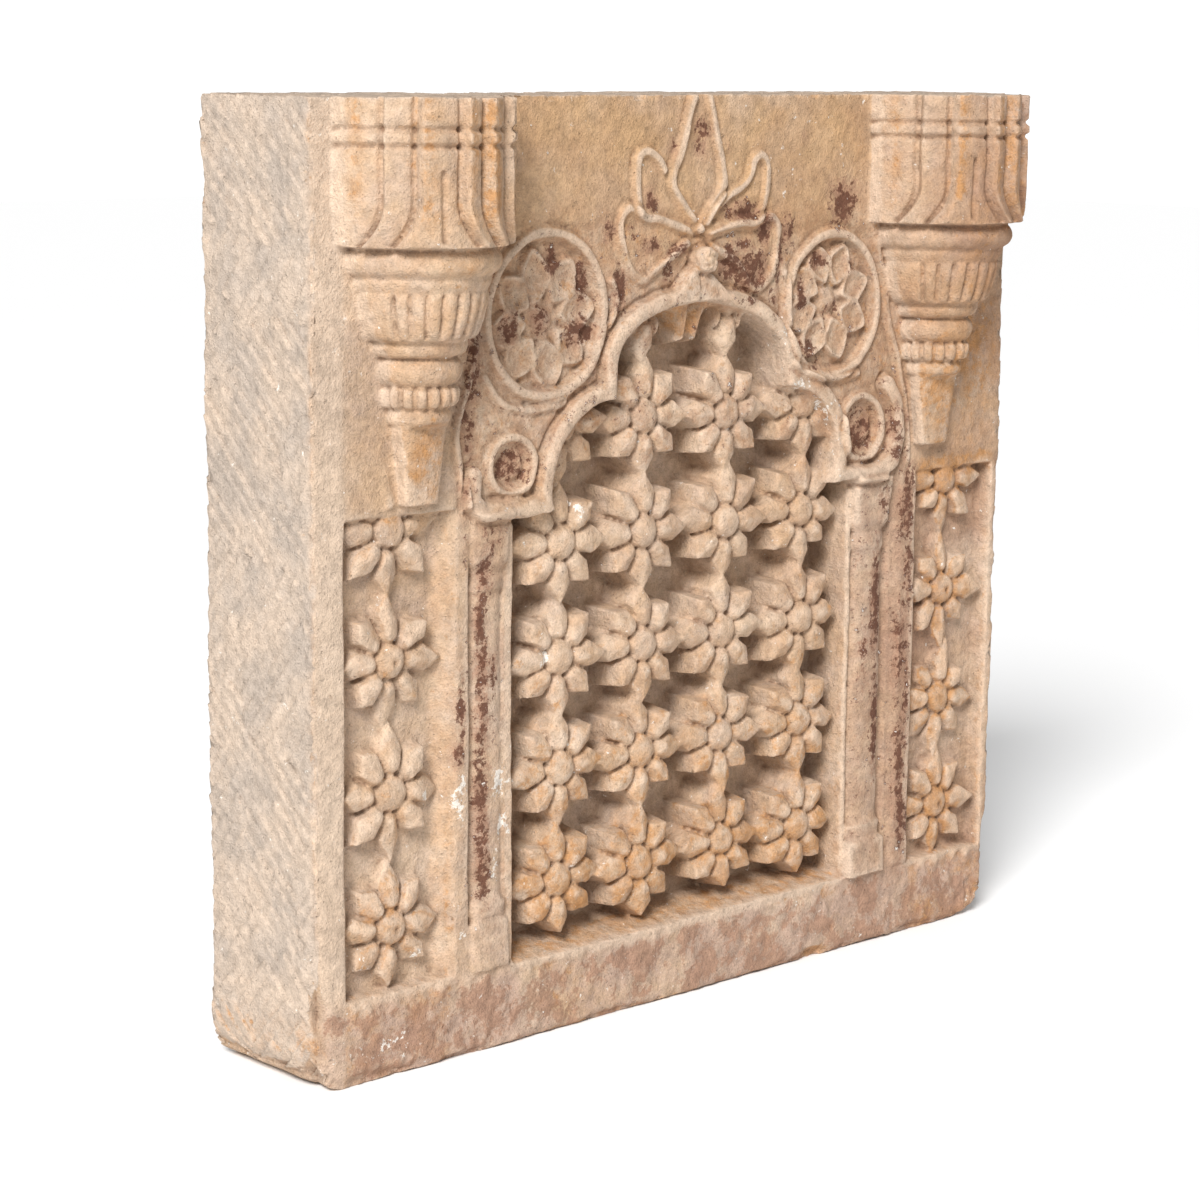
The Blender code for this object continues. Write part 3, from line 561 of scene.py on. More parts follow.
LEAF_BASES = ((-4, 489), (8, 489), (-4, 485), (10, 484))


def dish_leaf(face, outline, base, seed):
    """The inside of a leaf, a little raised at its heart, with veins that run from its base."""
    area = face.around(outline, 4)
    x, z = face.place(area)
    far = outline_distance(x, z, outline)
    angle = np.arctan2(z - base[1], x - base[0])
    veins = 0.45 * np.cos(13 * angle + seed) * step(8, 22, np.hypot(x - base[0], z - base[1]))
    face.add(area, (1 - step(-2.0, 0.5, far)) * (0.8 + veins - 0.05 * np.clip(-far, 0, 12)))


def carve_finial(face):
    spire = list(SPIRE_LEFT) + list(SPIRE_RIGHT)[::-1]
    dish_leaf(face, spire, (2, 490), 1)
    leaves = (UPPER_LEFT, UPPER_RIGHT, LOWER_LEFT, LOWER_RIGHT)
    for number, (line, base) in enumerate(zip(leaves, LEAF_BASES)):
        dish_leaf(face, list(line), base, number)
        cord_line(face, flowing(line, 4), *LEAF_FILLET, number, ends=0.03)
    cord_line(face, flowing(SPIRE_LEFT, 4), *SPIRE_FILLET, 5, ends=0)
    cord_line(face, flowing(SPIRE_RIGHT, 4), *SPIRE_FILLET, 6, ends=0)


# Roundels, volutes and the fillets that bound the spandrels

def roundel(face, middle, wide, high, turn, boss, bulk, seed):
    """A broad ring round a dish that holds a flower of eight rimmed petals and a boss."""
    area = face.area(middle[0] - wide - 9, middle[0] + wide + 9, middle[1] - high - 9, middle[1] + high + 9)
    x, z = face.place(area)
    mean = (wide + high) / 2
    share = np.hypot((x - middle[0]) / wide, (z - middle[1]) / high)
    far = (share - 1) * mean
    ring = 3.2 * np.sqrt(np.clip(1 - (far / 3.6) ** 2, 0, 1))
    dish = -2.8 * (1 - step(-6.0, -3.0, far)) - 1.1 * np.exp(-(((far - 4.6) / 1.3) ** 2))
    dish = dish - 1.2 * np.exp(-(((far + 5.4) / 1.4) ** 2))
    wave = 1.6 * noise(x, z, 26, seed)
    u, v = x - boss[0] + wave, z - boss[1] + 1.2 * noise(x, z, 25, seed + 1)
    reach = np.hypot(u, v) / mean
    angle = np.arctan2(v, u) - turn
    sector = 2 * math.pi / PETALS
    part = angle - sector * np.round(angle / sector)
    long, wide_across = np.abs(reach * np.cos(part) - 0.58) / 0.33, np.abs(reach * np.sin(part)) / 0.25
    lobe = (long**1.35 + wide_across**1.35) ** (1 / 1.35)
    petals = bulk * (1 - step(0.94, 1.10, lobe)) - 1.5 * (1 - step(0.2, 0.8, lobe))
    rim = 1.3 * np.exp(-(((lobe - 0.88) / 0.13) ** 2))
    between_petals = -1.6 * np.exp(-(((lobe - 1.20) / 0.10) ** 2)) * (reach > 0.25)
    knob = 3.2 * np.sqrt(np.clip(1 - (np.hypot(x - boss[0], z - boss[1]) / 8.5) ** 2, 0, 1))
    inside = 1 - step(-6.5, -4.0, far)
    face.add(area, ring + dish + (petals + rim + between_petals) * inside + knob)


def volute(face, middle, wide, high):
    """A coiled ring round a small sunk eye."""
    area = face.area(middle[0] - wide - 8, middle[0] + wide + 8, middle[1] - high - 8, middle[1] + high + 8)
    x, z = face.place(area)
    share = np.hypot((x - middle[0]) / wide, (z - middle[1]) / high)
    far = (share - 1) * (wide + high) / 2
    ring = 3.2 * np.sqrt(np.clip(1 - (far / 3.0) ** 2, 0, 1))
    dish = -2.8 * (1 - step(-6.0, -2.0, far))
    angle = np.arctan2(z - middle[1], x - middle[0])
    coil = 1.1 * np.cos(2 * math.pi * (share * 1.8) - angle + 0.8) * (share < 0.8) * step(0.1, 0.3, share)
    face.add(area, ring + dish + coil - 0.9 * np.exp(-(((far - 4.2) / 1.4) ** 2)))


def carve_spandrels(face):
    roundel(face, (-122, 443), 46.5, 49.0, 0.15, (-125, 440), 1.5, 61)
    roundel(face, (127, 437), 42.5, 46.0, 0.32, (122, 440), 3.2, 62)
    volute(face, (-149, 355), 17.5, 17.5)
    volute(face, (157, 355), 20.0, 21.0)
    lines = (
        ((-176, 432), (-183, 405), (-192, 378), (-188, 350), (-186, 330)),
        ((166, 481), (174, 455), (180, 425), (190, 400), (198, 372), (202, 345), (203, 326)),
        ((-172, 412), (-158, 394), (-140, 388), (-122, 388), (-104, 391)),
        ((86, 404), (100, 396), (118, 391), (134, 388), (156, 392)),
        ((-70, 462), (-64, 448), (-72, 432)),
        ((82, 462), (84, 444), (86, 424)),
    )
    for number, line in enumerate(lines):
        cord_line(face, flowing(line, 5), 6.0, 2.6, 10 + number, ends=0.06)


# Wear and breaks on the face

def break_edges(face):
    """Chips along the arrises, worn breaks at the foot and the pits of the dressed face."""
    x, z = face.wide, face.high
    near = np.minimum(np.minimum(x + HALF_WIDTH, HALF_WIDTH - x), np.minimum(z, TOP - z))
    chips = np.clip(noise(x, z, 9, 71) + 0.6 * noise(x, z, 21, 72) - 0.35, 0, 1)
    face.height -= 5.0 * chips * (1 - step(0.0, 5.0, near))
    for middle, wide, high, depth in (
        ((-301, 47), 12, 15, 7.0), ((-252, 3), 40, 5, 3.0), ((120, 2), 18, 6, 5.0), ((-60, 1), 30, 4, 3.0),
        ((228, 2), 26, 5, 4.0), ((299, 46), 6, 26, 3.0),
    ):
        chip = blob(x, z, middle, wide, high) * (1 + 0.3 * noise(x, z, 6, 73))
        face.height -= depth * np.clip(1.5 * chip - 0.35, 0, 1)
    pits = np.clip(noise(x, z, 3.4, 74) - 0.80, 0, 1) * 3.0
    face.height -= pits * step(0.1, 0.5, noise(x, z, 40, 75) + 0.3)


def carve_face(sizes):
    """Everything on the face but the capitals, in the order in which it is cut."""
    face = Face(sizes.grid_step / MM)
    strip = sizes.strip_depth / MM
    niche = sizes.niche_depth / MM
    reach = sizes.petal_reach / MM
    dress_face(face)
    sink_strip(face, -275.5, -192, 52, 334, strip, 12.0)
    sink_strip(face, 290.5, 212.5, 50, 321.5, strip, 2.0)
    sink_pilaster(face, -182.5, -143, 51, 326)
    sink_pilaster(face, 145, 189.5, 50, 322)
    sink_niche(face, niche)
    carve_lattice(face, niche, reach)
    carve_strips(face, strip, reach)
    carve_pilasters(face)
    carve_spandrels(face)
    carve_finial(face)
    carve_arch(face)
    break_edges(face)
    return face


# The capitals, turned round an upright axis in the face

# The rings of a capital from the pendant up: low end, high end, radius at each, and swell
MOULDINGS = (
    (340.0, 386.0, 12.8, 18.0, 0.2),
    (387.0, 395.5, 18.5, 19.0, 2.6),
    (397.0, 408.5, 20.5, 21.5, 2.6),
    (409.5, 425.0, 21.0, 22.5, 5.8),
    (426.5, 435.0, 27.0, 29.0, 2.4),
    (436.5, 463.5, 34.5, 41.0, 2.0),
    (464.5, 470.5, 42.0, 44.0, 0.8),
    (472.0, 487.5, 43.0, 44.0, 6.6),
    (489.0, 572.5, 55.5, 56.0, 0.0),
)
# In degrees from straight out: the grooves between the leaves of a block and which way each
# leaf curls, and the pitch and start of the reeds and of the beads
LEAF_GROOVES = (-59.0, -38.0, -10.0, 7.0, 32.0, 52.0, 72.0)
LEAF_CURLS = (1.0, 1.0, -1.0, -1.0, -1.0, -1.0, -1.0)
REED_PITCH, REED_START = 13.5, -56.0
BEAD_PITCH, BEAD_START = 19.7, -59.0


def crease(value, width):
    """A narrow V, 1 where value is 0."""
    return np.maximum(1 - np.abs(value) / width, 0.0)


def capital_radius(angle, z, scale, seed):
    """The radius of a capital at each angle from straight out and at each height."""
    degrees = np.degrees(angle) + 0.8 * noise(z, angle * 30, 18, seed + 4)
    radius = np.full(z.shape, 10.0, np.float32)
    for low, high, foot, head, swell in MOULDINGS:
        t = np.clip((z - low) / (high - low), 0, 1)
        here = (z >= low - 0.8) & (z <= high + 0.8)
        bulge = foot + (head - foot) * t + swell * np.clip(1 - (2 * t - 1) ** 2, 0, 1) ** 0.5
        radius = np.where(here, np.maximum(radius, bulge), radius)
    # Upright leaves on the block: each rises to a ridge near its outer side and curls in at its foot.
    block = between(489.0, 573.0, z, 0.5)
    foot_turn = 15.0 * np.clip((514 - z) / 25, 0, 1) ** 2
    edges = [-95.0] + [groove - curl * foot_turn for groove, curl in zip(LEAF_GROOVES, LEAF_CURLS)] + [95.0]
    leaf = np.full(z.shape, -1.2, np.float32)
    for left, right in zip(edges[:-1], edges[1:]):
        share = np.clip((degrees - left) / (right - left), 0, 1)
        pleat = np.where(share < 0.16, share / 0.16, 1 - 0.9 * (share - 0.16) / 0.84)
        leaf = np.where((degrees >= left) & (degrees < right), 6.0 * pleat - 3.2, leaf)
    for edge in edges[1:-1]:
        leaf = leaf - 3.4 * crease(degrees - edge + 0.8, 2.4)
    inner = crease(degrees + 21.5, 2.4) * (z < 532) * (z > 492)
    grooves = crease(z - 544.5 - 0.5 * noise(degrees, z, 14, seed), 2.2) + crease(z - 553.5, 2.1)
    band = between(545.5, 552.5, z, 0.6)
    radius = radius + block * (leaf - 3.2 * inner - 3.6 * grooves + 0.5 * band)
    # Reeds round the bowl and beads under the lower torus
    reed = (degrees - REED_START) / REED_PITCH - 0.5
    beside = reed - np.round(reed)
    bowl = between(437.5, 462.5, z, 0.6)
    cut = 1.3 * (1 - 4 * beside**2) - 0.4
    reeds = cut - 3.6 * crease((np.abs(beside) - 0.5) * REED_PITCH, 2.4)
    radius = radius + bowl * np.where(degrees > REED_START - 2, reeds, 0.6)
    bead = (degrees - BEAD_START) / BEAD_PITCH - 0.5
    apart = bead - np.round(bead)
    round_bead = 2.4 * (1 - 4 * apart**2) - 4.0 * crease((np.abs(apart) - 0.5) * BEAD_PITCH, 3.6)
    radius = radius + between(397.0, 408.5, z, 0.6) * round_bead
    # The pendant is nearly square, with its corners rounded.
    pendant = 1 - step(385.5, 387.5, z)
    corner = np.radians(degrees + 2.0)
    square = 1.0 / (np.abs(np.cos(corner)) ** 5 + np.abs(np.sin(corner)) ** 5) ** 0.2
    radius = radius * (1 + pendant * (square * 0.97 - 1))
    radius = radius + 0.30 * rough(degrees * 0.7, z, 15, seed) + 0.16 * rough(degrees * 0.7, z, 5, seed + 1)
    # The outer corners of the right block are broken off, above and below.
    broken = 11.0 * step(TOP - 10, TOP, z) ** 2 + 7.0 * between(487, 490, z, 3.5)
    radius = radius - broken * step(35, 70, degrees) * (scale > 1)
    return radius * scale


def capital_solid(axis, scale, front, spacing, seed):
    """A closed half-round solid, with its back buried in the slab."""
    rows = int((TOP - MOULDINGS[0][0]) / spacing) + 1
    columns = int(math.pi * 57 / spacing)
    heights = np.linspace(MOULDINGS[0][0], TOP, rows)
    angles = np.linspace(-math.radians(98), math.radians(98), columns)
    angle, z = np.meshgrid(angles, heights)
    radius = capital_radius(angle, z, scale, seed)
    points = np.empty((rows, columns + 1, 3))
    points[:, :columns, 0] = axis + radius * np.sin(angle)
    # The pendant lies flatter against the slab than the rings above it.
    flat = 1 - 0.3 * (1 - step(384.0, 388.0, z))
    points[:, :columns, 1] = front - radius * np.cos(angle) * flat
    points[:, :columns, 2] = z
    points[:, columns] = np.stack([np.full(rows, axis), np.full(rows, front + 14.0), heights], -1)
    return points


def grid_faces(rows, columns, wrap):
    """Quads over a grid of points that are numbered row by row, joined round when wrap is set."""
    index = np.arange(rows * columns).reshape(rows, columns)
    after = np.roll(index, -1, axis=1) if wrap else index[:, 1:]
    here = index if wrap else index[:, :-1]
    quads = np.stack([here[:-1], after[:-1], after[1:], here[1:]], -1)
    return quads.reshape(-1, 4)


def mesh_from(name, points, quads, triangles):
    """A mesh from numpy points, quads and triangles."""
    mesh = bpy.data.meshes.new(name)
    mesh.vertices.add(len(points))
    mesh.vertices.foreach_set("co", np.asarray(points, np.float32).ravel())
    corners = np.concatenate([quads.ravel(), triangles.ravel()]).astype(np.int32)
    mesh.loops.add(len(corners))
    mesh.loops.foreach_set("vertex_index", corners)
    starts = np.concatenate([
        np.arange(len(quads)) * 4,
        len(quads) * 4 + np.arange(len(triangles)) * 3,
    ]).astype(np.int32)
    mesh.polygons.add(len(starts))
    mesh.polygons.foreach_set("loop_start", starts)
    mesh.update(calc_edges=True)
    mesh.validate()
    return mesh


def capital_mesh(points):
    """The mesh of a capital: its skin, and a fan that closes each end."""
    rows, columns = points.shape[:2]
    quads = grid_faces(rows, columns, True)
    flat = points.reshape(-1, 3)
    ends = np.array([points[0, :-1].mean(0), points[-1, :-1].mean(0)])
    low, high = len(flat), len(flat) + 1
    ring = np.arange(columns)
    after = np.roll(ring, -1)
    bottom = np.stack([after, ring, np.full(columns, low)], -1)
    last = (rows - 1) * columns
    top = np.stack([last + ring, last + after, np.full(columns, high)], -1)
    return np.concatenate([flat, ends]), quads, np.concatenate([bottom, top])


def slab_mesh(face, front):
    """The slab as a closed solid behind its carved face."""
    rows, columns = face.height.shape
    points = np.stack([face.wide, front - face.height, face.high], -1).reshape(-1, 3)
    quads = grid_faces(rows, columns, False)
    index = np.arange(rows * columns).reshape(rows, columns)
    rim = np.concatenate([index[0, :-1], index[:-1, -1], index[-1, :0:-1], index[:0:-1, 0]])
    behind = points[rim].copy()
    behind[:, 1] = BACK
    count = len(rim)
    far_rim = len(points) + np.arange(count)
    middle = len(points) + count
    sides = np.stack([rim, far_rim, np.roll(far_rim, -1), np.roll(rim, -1)], -1)
    fan = np.stack([far_rim, np.full(count, middle), np.roll(far_rim, -1)], -1)
    points = np.concatenate([points, behind, [[0.0, BACK, TOP / 2]]])
    return points, np.concatenate([quads, sides]), fan


# Wear of the whole stone

def get_points(mesh):
    points = np.empty(len(mesh.vertices) * 3, np.float32)
    mesh.vertices.foreach_get("co", points)
    return points.reshape(-1, 3)


def get_normals(mesh):
    normals = np.empty(len(mesh.vertices) * 3, np.float32)
    mesh.vertex_normals.foreach_get("vector", normals)
    return normals.reshape(-1, 3)


def set_points(mesh, points):
    mesh.vertices.foreach_set("co", np.asarray(points, np.float32).ravel())
    mesh.update()


def round_arris(points, first, second, first_edge, second_edge, radius):
    """Rounds the corner between two flat sides of the slab."""
    signs = (math.copysign(1, first_edge[0]), math.copysign(1, second_edge[0]))
    a = radius - (first_edge[1] - signs[0] * points[:, first])
    b = radius - (second_edge[1] - signs[1] * points[:, second])
    inside = (a > 0) & (b > 0)
    scale = np.where(inside, np.maximum(a, b) / np.maximum(np.hypot(a, b), 1e-6), 1.0)
    for number, axis, edge, value in ((0, first, first_edge, a), (1, second, second_edge, b)):
        moved = signs[number] * (edge[1] - radius + value * scale)
        points[:, axis] = np.where(inside, moved, points[:, axis])


# Width and length of one flat cut of the chisel, and the two ways in which the cuts lean
CUT_WIDE, CUT_LONG = 9.0, 24.0
CUT_LEANS = (-0.86, 0.74)


def chisel(across, up, seed):
    """Flat slanting cuts that overlap like scales, in patches that lean one way or the other."""
    cuts = []
    for number, lean in enumerate(CUT_LEANS, 1):
        run = across * math.cos(lean) + up * math.sin(lean) + 3.0 * noise(across, up, 44, seed + number)
        beside = up * math.cos(lean) - across * math.sin(lean) + 1.6 * noise(across, up, 31, seed + 2 * number)
        row = np.floor(beside / CUT_WIDE)
        cell = np.floor(run / CUT_LONG + 0.618 * row)
        chance = NOISE_TABLE[(row * 73 + cell * 151).astype(np.int64) & (NOISE_SIDE**3 - 1)]
        cuts.append(0.7 * chance + (1.2 + 0.4 * chance) * (beside / CUT_WIDE - row - 0.5))
    return np.where(noise(across, up, 50, seed) < 0.22, cuts[0], cuts[1])


UPSIDE_DOWN = np.array((1, 1, -1), np.float32)
BACK_TO_FRONT = np.array((1, -1, 1), np.float32)
# Radius of the two lower corners, and the further wear of the two front arrises at their foot,
# on the left (-1) and on the right (1)
FOOT_CORNERS = {-1: 24.0, 1: 38.0}
FOOT_ARRISES = {-1: 19.0, 1: 6.0}


def weather(mesh, front):
    """Moves the skin of the stone: tool marks on its sides and back, wear and waves all over."""
    points = get_points(mesh) / MM
    normals = get_normals(mesh)
    x, y, z = points.T
    side = step(0.6, 0.9, np.abs(normals[:, 0])) * (y > front + 1)
    outer, rear, upper = (step(-5.0, -2.0, reach) for reach in (np.abs(x) - HALF_WIDTH, y - BACK, z - TOP))
    move = -0.25 + 0.15 * rough(x, z, 7.0, 81, y) + 0.20 * noise(x, z, 17.0, 82, y)
    inner = (y > -50) * (1 - side)
    move = move + 0.06 * noise(x, z, 2.6, 89, y) + 0.30 * inner * noise(x * 2.2, z * 2.2, 9.0, 83, y * 0.35)
    points = points + normals * move[:, None]
    points[:, 0] -= np.sign(x) * outer * (1.9 - 1.0 * chisel(y, z, 84) + 0.6 * rough(y, z, 45, 85))
    points[:, 1] -= rear * (1.4 - 0.7 * chisel(x, z, 86) + 0.8 * rough(x, z, 60, 87))
    points[:, 2] -= upper * (0.8 - 0.5 * chisel(x, y, 88))
    up, beside = points[:, 2], points[:, 0]
    wear = np.clip(3.4 + 2.2 * noise(up, beside, 16, 91) + 1.2 * noise(up, beside, 5, 92), 1.2, 9.0)
    for sign in (-1, 1):
        round_arris(points, 0, 1, (sign, HALF_WIDTH), (1, BACK), wear)
        round_arris(points, 0, 2, (sign, HALF_WIDTH), (1, TOP), wear)
        # Turned upside down, the foot is rounded as the top is; turned back to front, the face is.
        low = points[:, 2] < 60
        turned = points[low] * UPSIDE_DOWN
        corner = np.full(len(turned), FOOT_CORNERS[sign])
        round_arris(turned, 0, 2, (sign, HALF_WIDTH), (1, 0.0), corner)
        points[low] = turned * UPSIDE_DOWN
        turned = points * BACK_TO_FRONT
        foot = FOOT_ARRISES[sign] * (1 - step(10, 130, points[:, 2]))
        round_arris(turned, 0, 1, (sign, HALF_WIDTH), (1, -front), wear + 0.8 + foot)
        points = turned * BACK_TO_FRONT
    round_arris(points, 1, 2, (1, BACK), (1, TOP), wear)
    # The front of the underside is worn back, so that the stone throws a thin shadow under its edge.
    low = points[:, 2] < 20
    turned = points[low] * BACK_TO_FRONT * UPSIDE_DOWN
    worn = np.clip(5.0 + 3.0 * noise(turned[:, 0], turned[:, 1], 24, 93), 2.0, 9.0)
    round_arris(turned, 1, 2, (1, -front), (1, 0.0), worn)
    points[low] = turned * BACK_TO_FRONT * UPSIDE_DOWN
    points[:, 2] = np.maximum(points[:, 2], 0.0)
    set_points(mesh, points * MM)


def apply_modifier(stone, kind, **settings):
    modifier = stone.modifiers.new(kind.lower(), kind)
    for key, value in settings.items():
        setattr(modifier, key, value)
    with bpy.context.temp_override(object=stone, active_object=stone):
        bpy.ops.object.modifier_apply(modifier=modifier.name)


# Masks: where each stain, paint and painted shade lies

# Remains of paint: middle, half width, half height and strength of each patch on the face
PAINT_PATCHES = (
    (-117, 474, 5, 8, 0.95), (-92, 460, 5, 10, 1.0), (-126, 440, 7, 8, 0.8), (-150, 437, 7, 10, 0.85),
    (-94, 432, 12, 8, 0.95), (-85, 408, 4, 8, 0.55), (-160, 455, 3, 12, 0.45), (-72, 490, 5, 7, 0.75),
    (-62, 455, 6, 13, 0.95), (-85, 492, 8, 4, 0.5), (-38, 507, 4, 6, 0.95), (-20, 540, 3, 5, 0.75),
    (-55, 490, 6, 6, 0.6), (-38, 481, 7, 5, 0.85), (-13, 478, 8, 4, 0.9), (-22, 466, 4, 9, 0.85),
    (6, 550, 6, 6, 0.8), (3, 540, 4, 5, 0.75), (42, 499, 12, 6, 0.95), (25, 503, 7, 4, 0.55),
    (60, 488, 6, 9, 0.95), (32, 468, 8, 9, 1.0), (50, 462, 12, 11, 1.0), (42, 478, 8, 5, 0.8),
    (82, 486, 6, 9, 0.85), (76, 466, 4, 14, 0.85), (72, 447, 4, 8, 0.75), (45, 444, 10, 3, 0.7),
    (112, 466, 8, 6, 0.95), (98, 444, 4, 10, 0.95), (143, 462, 7, 7, 0.7), (126, 434, 8, 6, 0.7),
    (105, 412, 7, 8, 0.75), (112, 398, 12, 4, 0.6), (147, 415, 4, 4, 0.6), (87, 436, 3, 14, 0.6),
    (134, 503, 10, 12, 1.0), (157, 352, 15, 15, 0.85), (188, 345, 5, 26, 0.75), (199, 345, 4, 32, 0.6),
    (176, 385, 9, 8, 0.45), (-148, 355, 12, 12, 0.8), (-171, 362, 4, 10, 0.45), (-178, 420, 6, 22, 0.85),
    (-183, 385, 6, 32, 0.75), (-186, 350, 4, 20, 0.6), (-190, 400, 4, 22, 0.5), (-166, 314, 9, 12, 0.6),
    (178, 306, 8, 12, 0.7), (97, 545, 3, 4, 0.55), (28, 540, 2, 3, 0.5), (-173, 262, 3, 14, 0.95),
    (-171, 238, 4, 20, 0.95), (-163, 232, 4, 12, 0.75), (-171, 205, 5, 24, 0.8), (-172, 162, 5, 30, 0.85),
    (-171, 290, 5, 18, 0.85),
    (-170, 120, 5, 26, 0.9), (-188, 214, 3, 20, 0.95), (-190, 188, 3, 9, 0.8), (-184, 240, 2, 20, 0.5),
    (-186, 312, 3, 16, 0.5), (-184, 105, 2, 16, 0.4), (-185, 132, 2, 12, 0.3), (203, 300, 7, 24, 0.85),
    (206, 255, 5, 40, 0.75), (199, 205, 5, 34, 0.75), (207, 170, 4, 40, 0.75), (201, 120, 5, 34, 0.9),
    (206, 80, 5, 24, 0.85), (174, 240, 6, 34, 0.9), (163, 200, 4, 26, 0.65), (176, 155, 5, 34, 0.9),
    (168, 100, 5, 14, 0.4), (-30, 429, 9, 5, 0.45), (8, 427, 8, 4, 0.45), (-44, 396, 5, 7, 0.5),
    (-42, 381, 6, 4, 0.4),
)
# Upright strips with thinner remains of paint: left side, right side and strength
PAINT_STRIPS = ((-181, -150, 0.30), (152, 213, 0.34), (194, 214, 0.42))
# Orange stains that run down the blocks of the capitals: angle, half width and strength
BLOCK_STAINS = ((-74, 6, 0.7), (-33, 9, 0.9), (-4, 5, 0.8), (14, 13, 1.0), (42, 6, 0.8), (62, 9, 1.0))
# Remains of limewash, listed like the paint
LIME_PATCHES = (
    (-188, 160, 4, 9, 0.95), (-157, 167, 6, 6, 0.95), (-155, 139, 3, 7, 0.95), (-161, 118, 2, 8, 0.85),
    (-188, 77, 3, 5, 0.7), (-157, 213, 2, 4, 0.8), (94, 388, 10, 3, 0.85), (120, 372, 6, 5, 0.8),
    (78, 424, 3, 14, 0.6), (127, 345, 3, 12, 0.5), (-91, 323, 3, 4, 0.9), (-258, 74, 4, 5, 0.6),
    (-221, 70, 4, 4, 0.8), (-215, 166, 3, 4, 0.8), (-250, 18, 16, 5, 0.5), (-118, 236, 4, 4, 0.9),
    (-92, 100, 4, 4, 0.5), (60, 120, 4, 3, 0.5), (206, 182, 3, 8, 0.4), (204, 60, 5, 4, 0.4),
)


def blurred(grid, reach):
    """A grid blurred by moving means, twice in each direction."""
    for _ in range(2):
        for axis in (0, 1):
            padded = np.concatenate([
                np.repeat(np.take(grid, [0], axis), reach, axis), grid,
                np.repeat(np.take(grid, [-1], axis), reach, axis),
            ], axis)
            total = np.cumsum(padded, axis, dtype=np.float64)
            head = np.take(total, np.arange(2 * reach, total.shape[axis]), axis)
            tail = np.take(total, np.arange(0, total.shape[axis] - 2 * reach), axis)
            grid = ((head - tail) / (2 * reach)).astype(np.float32)
    return grid


def sampled(face, grid, x, z):
    """The values of a grid at given places."""
    column = np.clip((x + HALF_WIDTH) / (2 * HALF_WIDTH) * (len(face.x) - 1), 0, len(face.x) - 1.001)
    row = np.clip(z / TOP * (len(face.z) - 1), 0, len(face.z) - 1.001)
    i, j = row.astype(int), column.astype(int)
    a, b = row - i, column - j
    low = grid[i, j] * (1 - b) + grid[i, j + 1] * b
    high = grid[i + 1, j] * (1 - b) + grid[i + 1, j + 1] * b
    return low * (1 - a) + high * a


def bending(points, normals, edges, spreads):
    """How the skin bends at each point: above zero in a crease, below zero on an edge."""
    count = len(points)
    near = np.concatenate([edges[:, 0], edges[:, 1]])
    other = np.concatenate([edges[:, 1], edges[:, 0]])
    number = np.maximum(np.bincount(near, minlength=count), 1)

    def mean(values):
        return np.bincount(near, values[other], count) / number

    shift = sum((mean(points[:, axis]) - points[:, axis]) * normals[:, axis] for axis in range(3))
    length = np.bincount(near, np.linalg.norm(points[near] - points[other], axis=1), count) / number
    bend = shift / np.maximum(length, 1e-6)
    for _ in range(spreads):
        bend = 0.5 * bend + 0.5 * mean(bend)
    return bend


def patches(x, z, listed):
    mask = np.zeros(len(x), np.float32)
    for middle_x, middle_z, wide, high, strength in listed:
        patch = strength * blob(x, z, (middle_x, middle_z), 1.55 * wide, 1.55 * high)
        mask = np.maximum(mask, patch)
    return mask


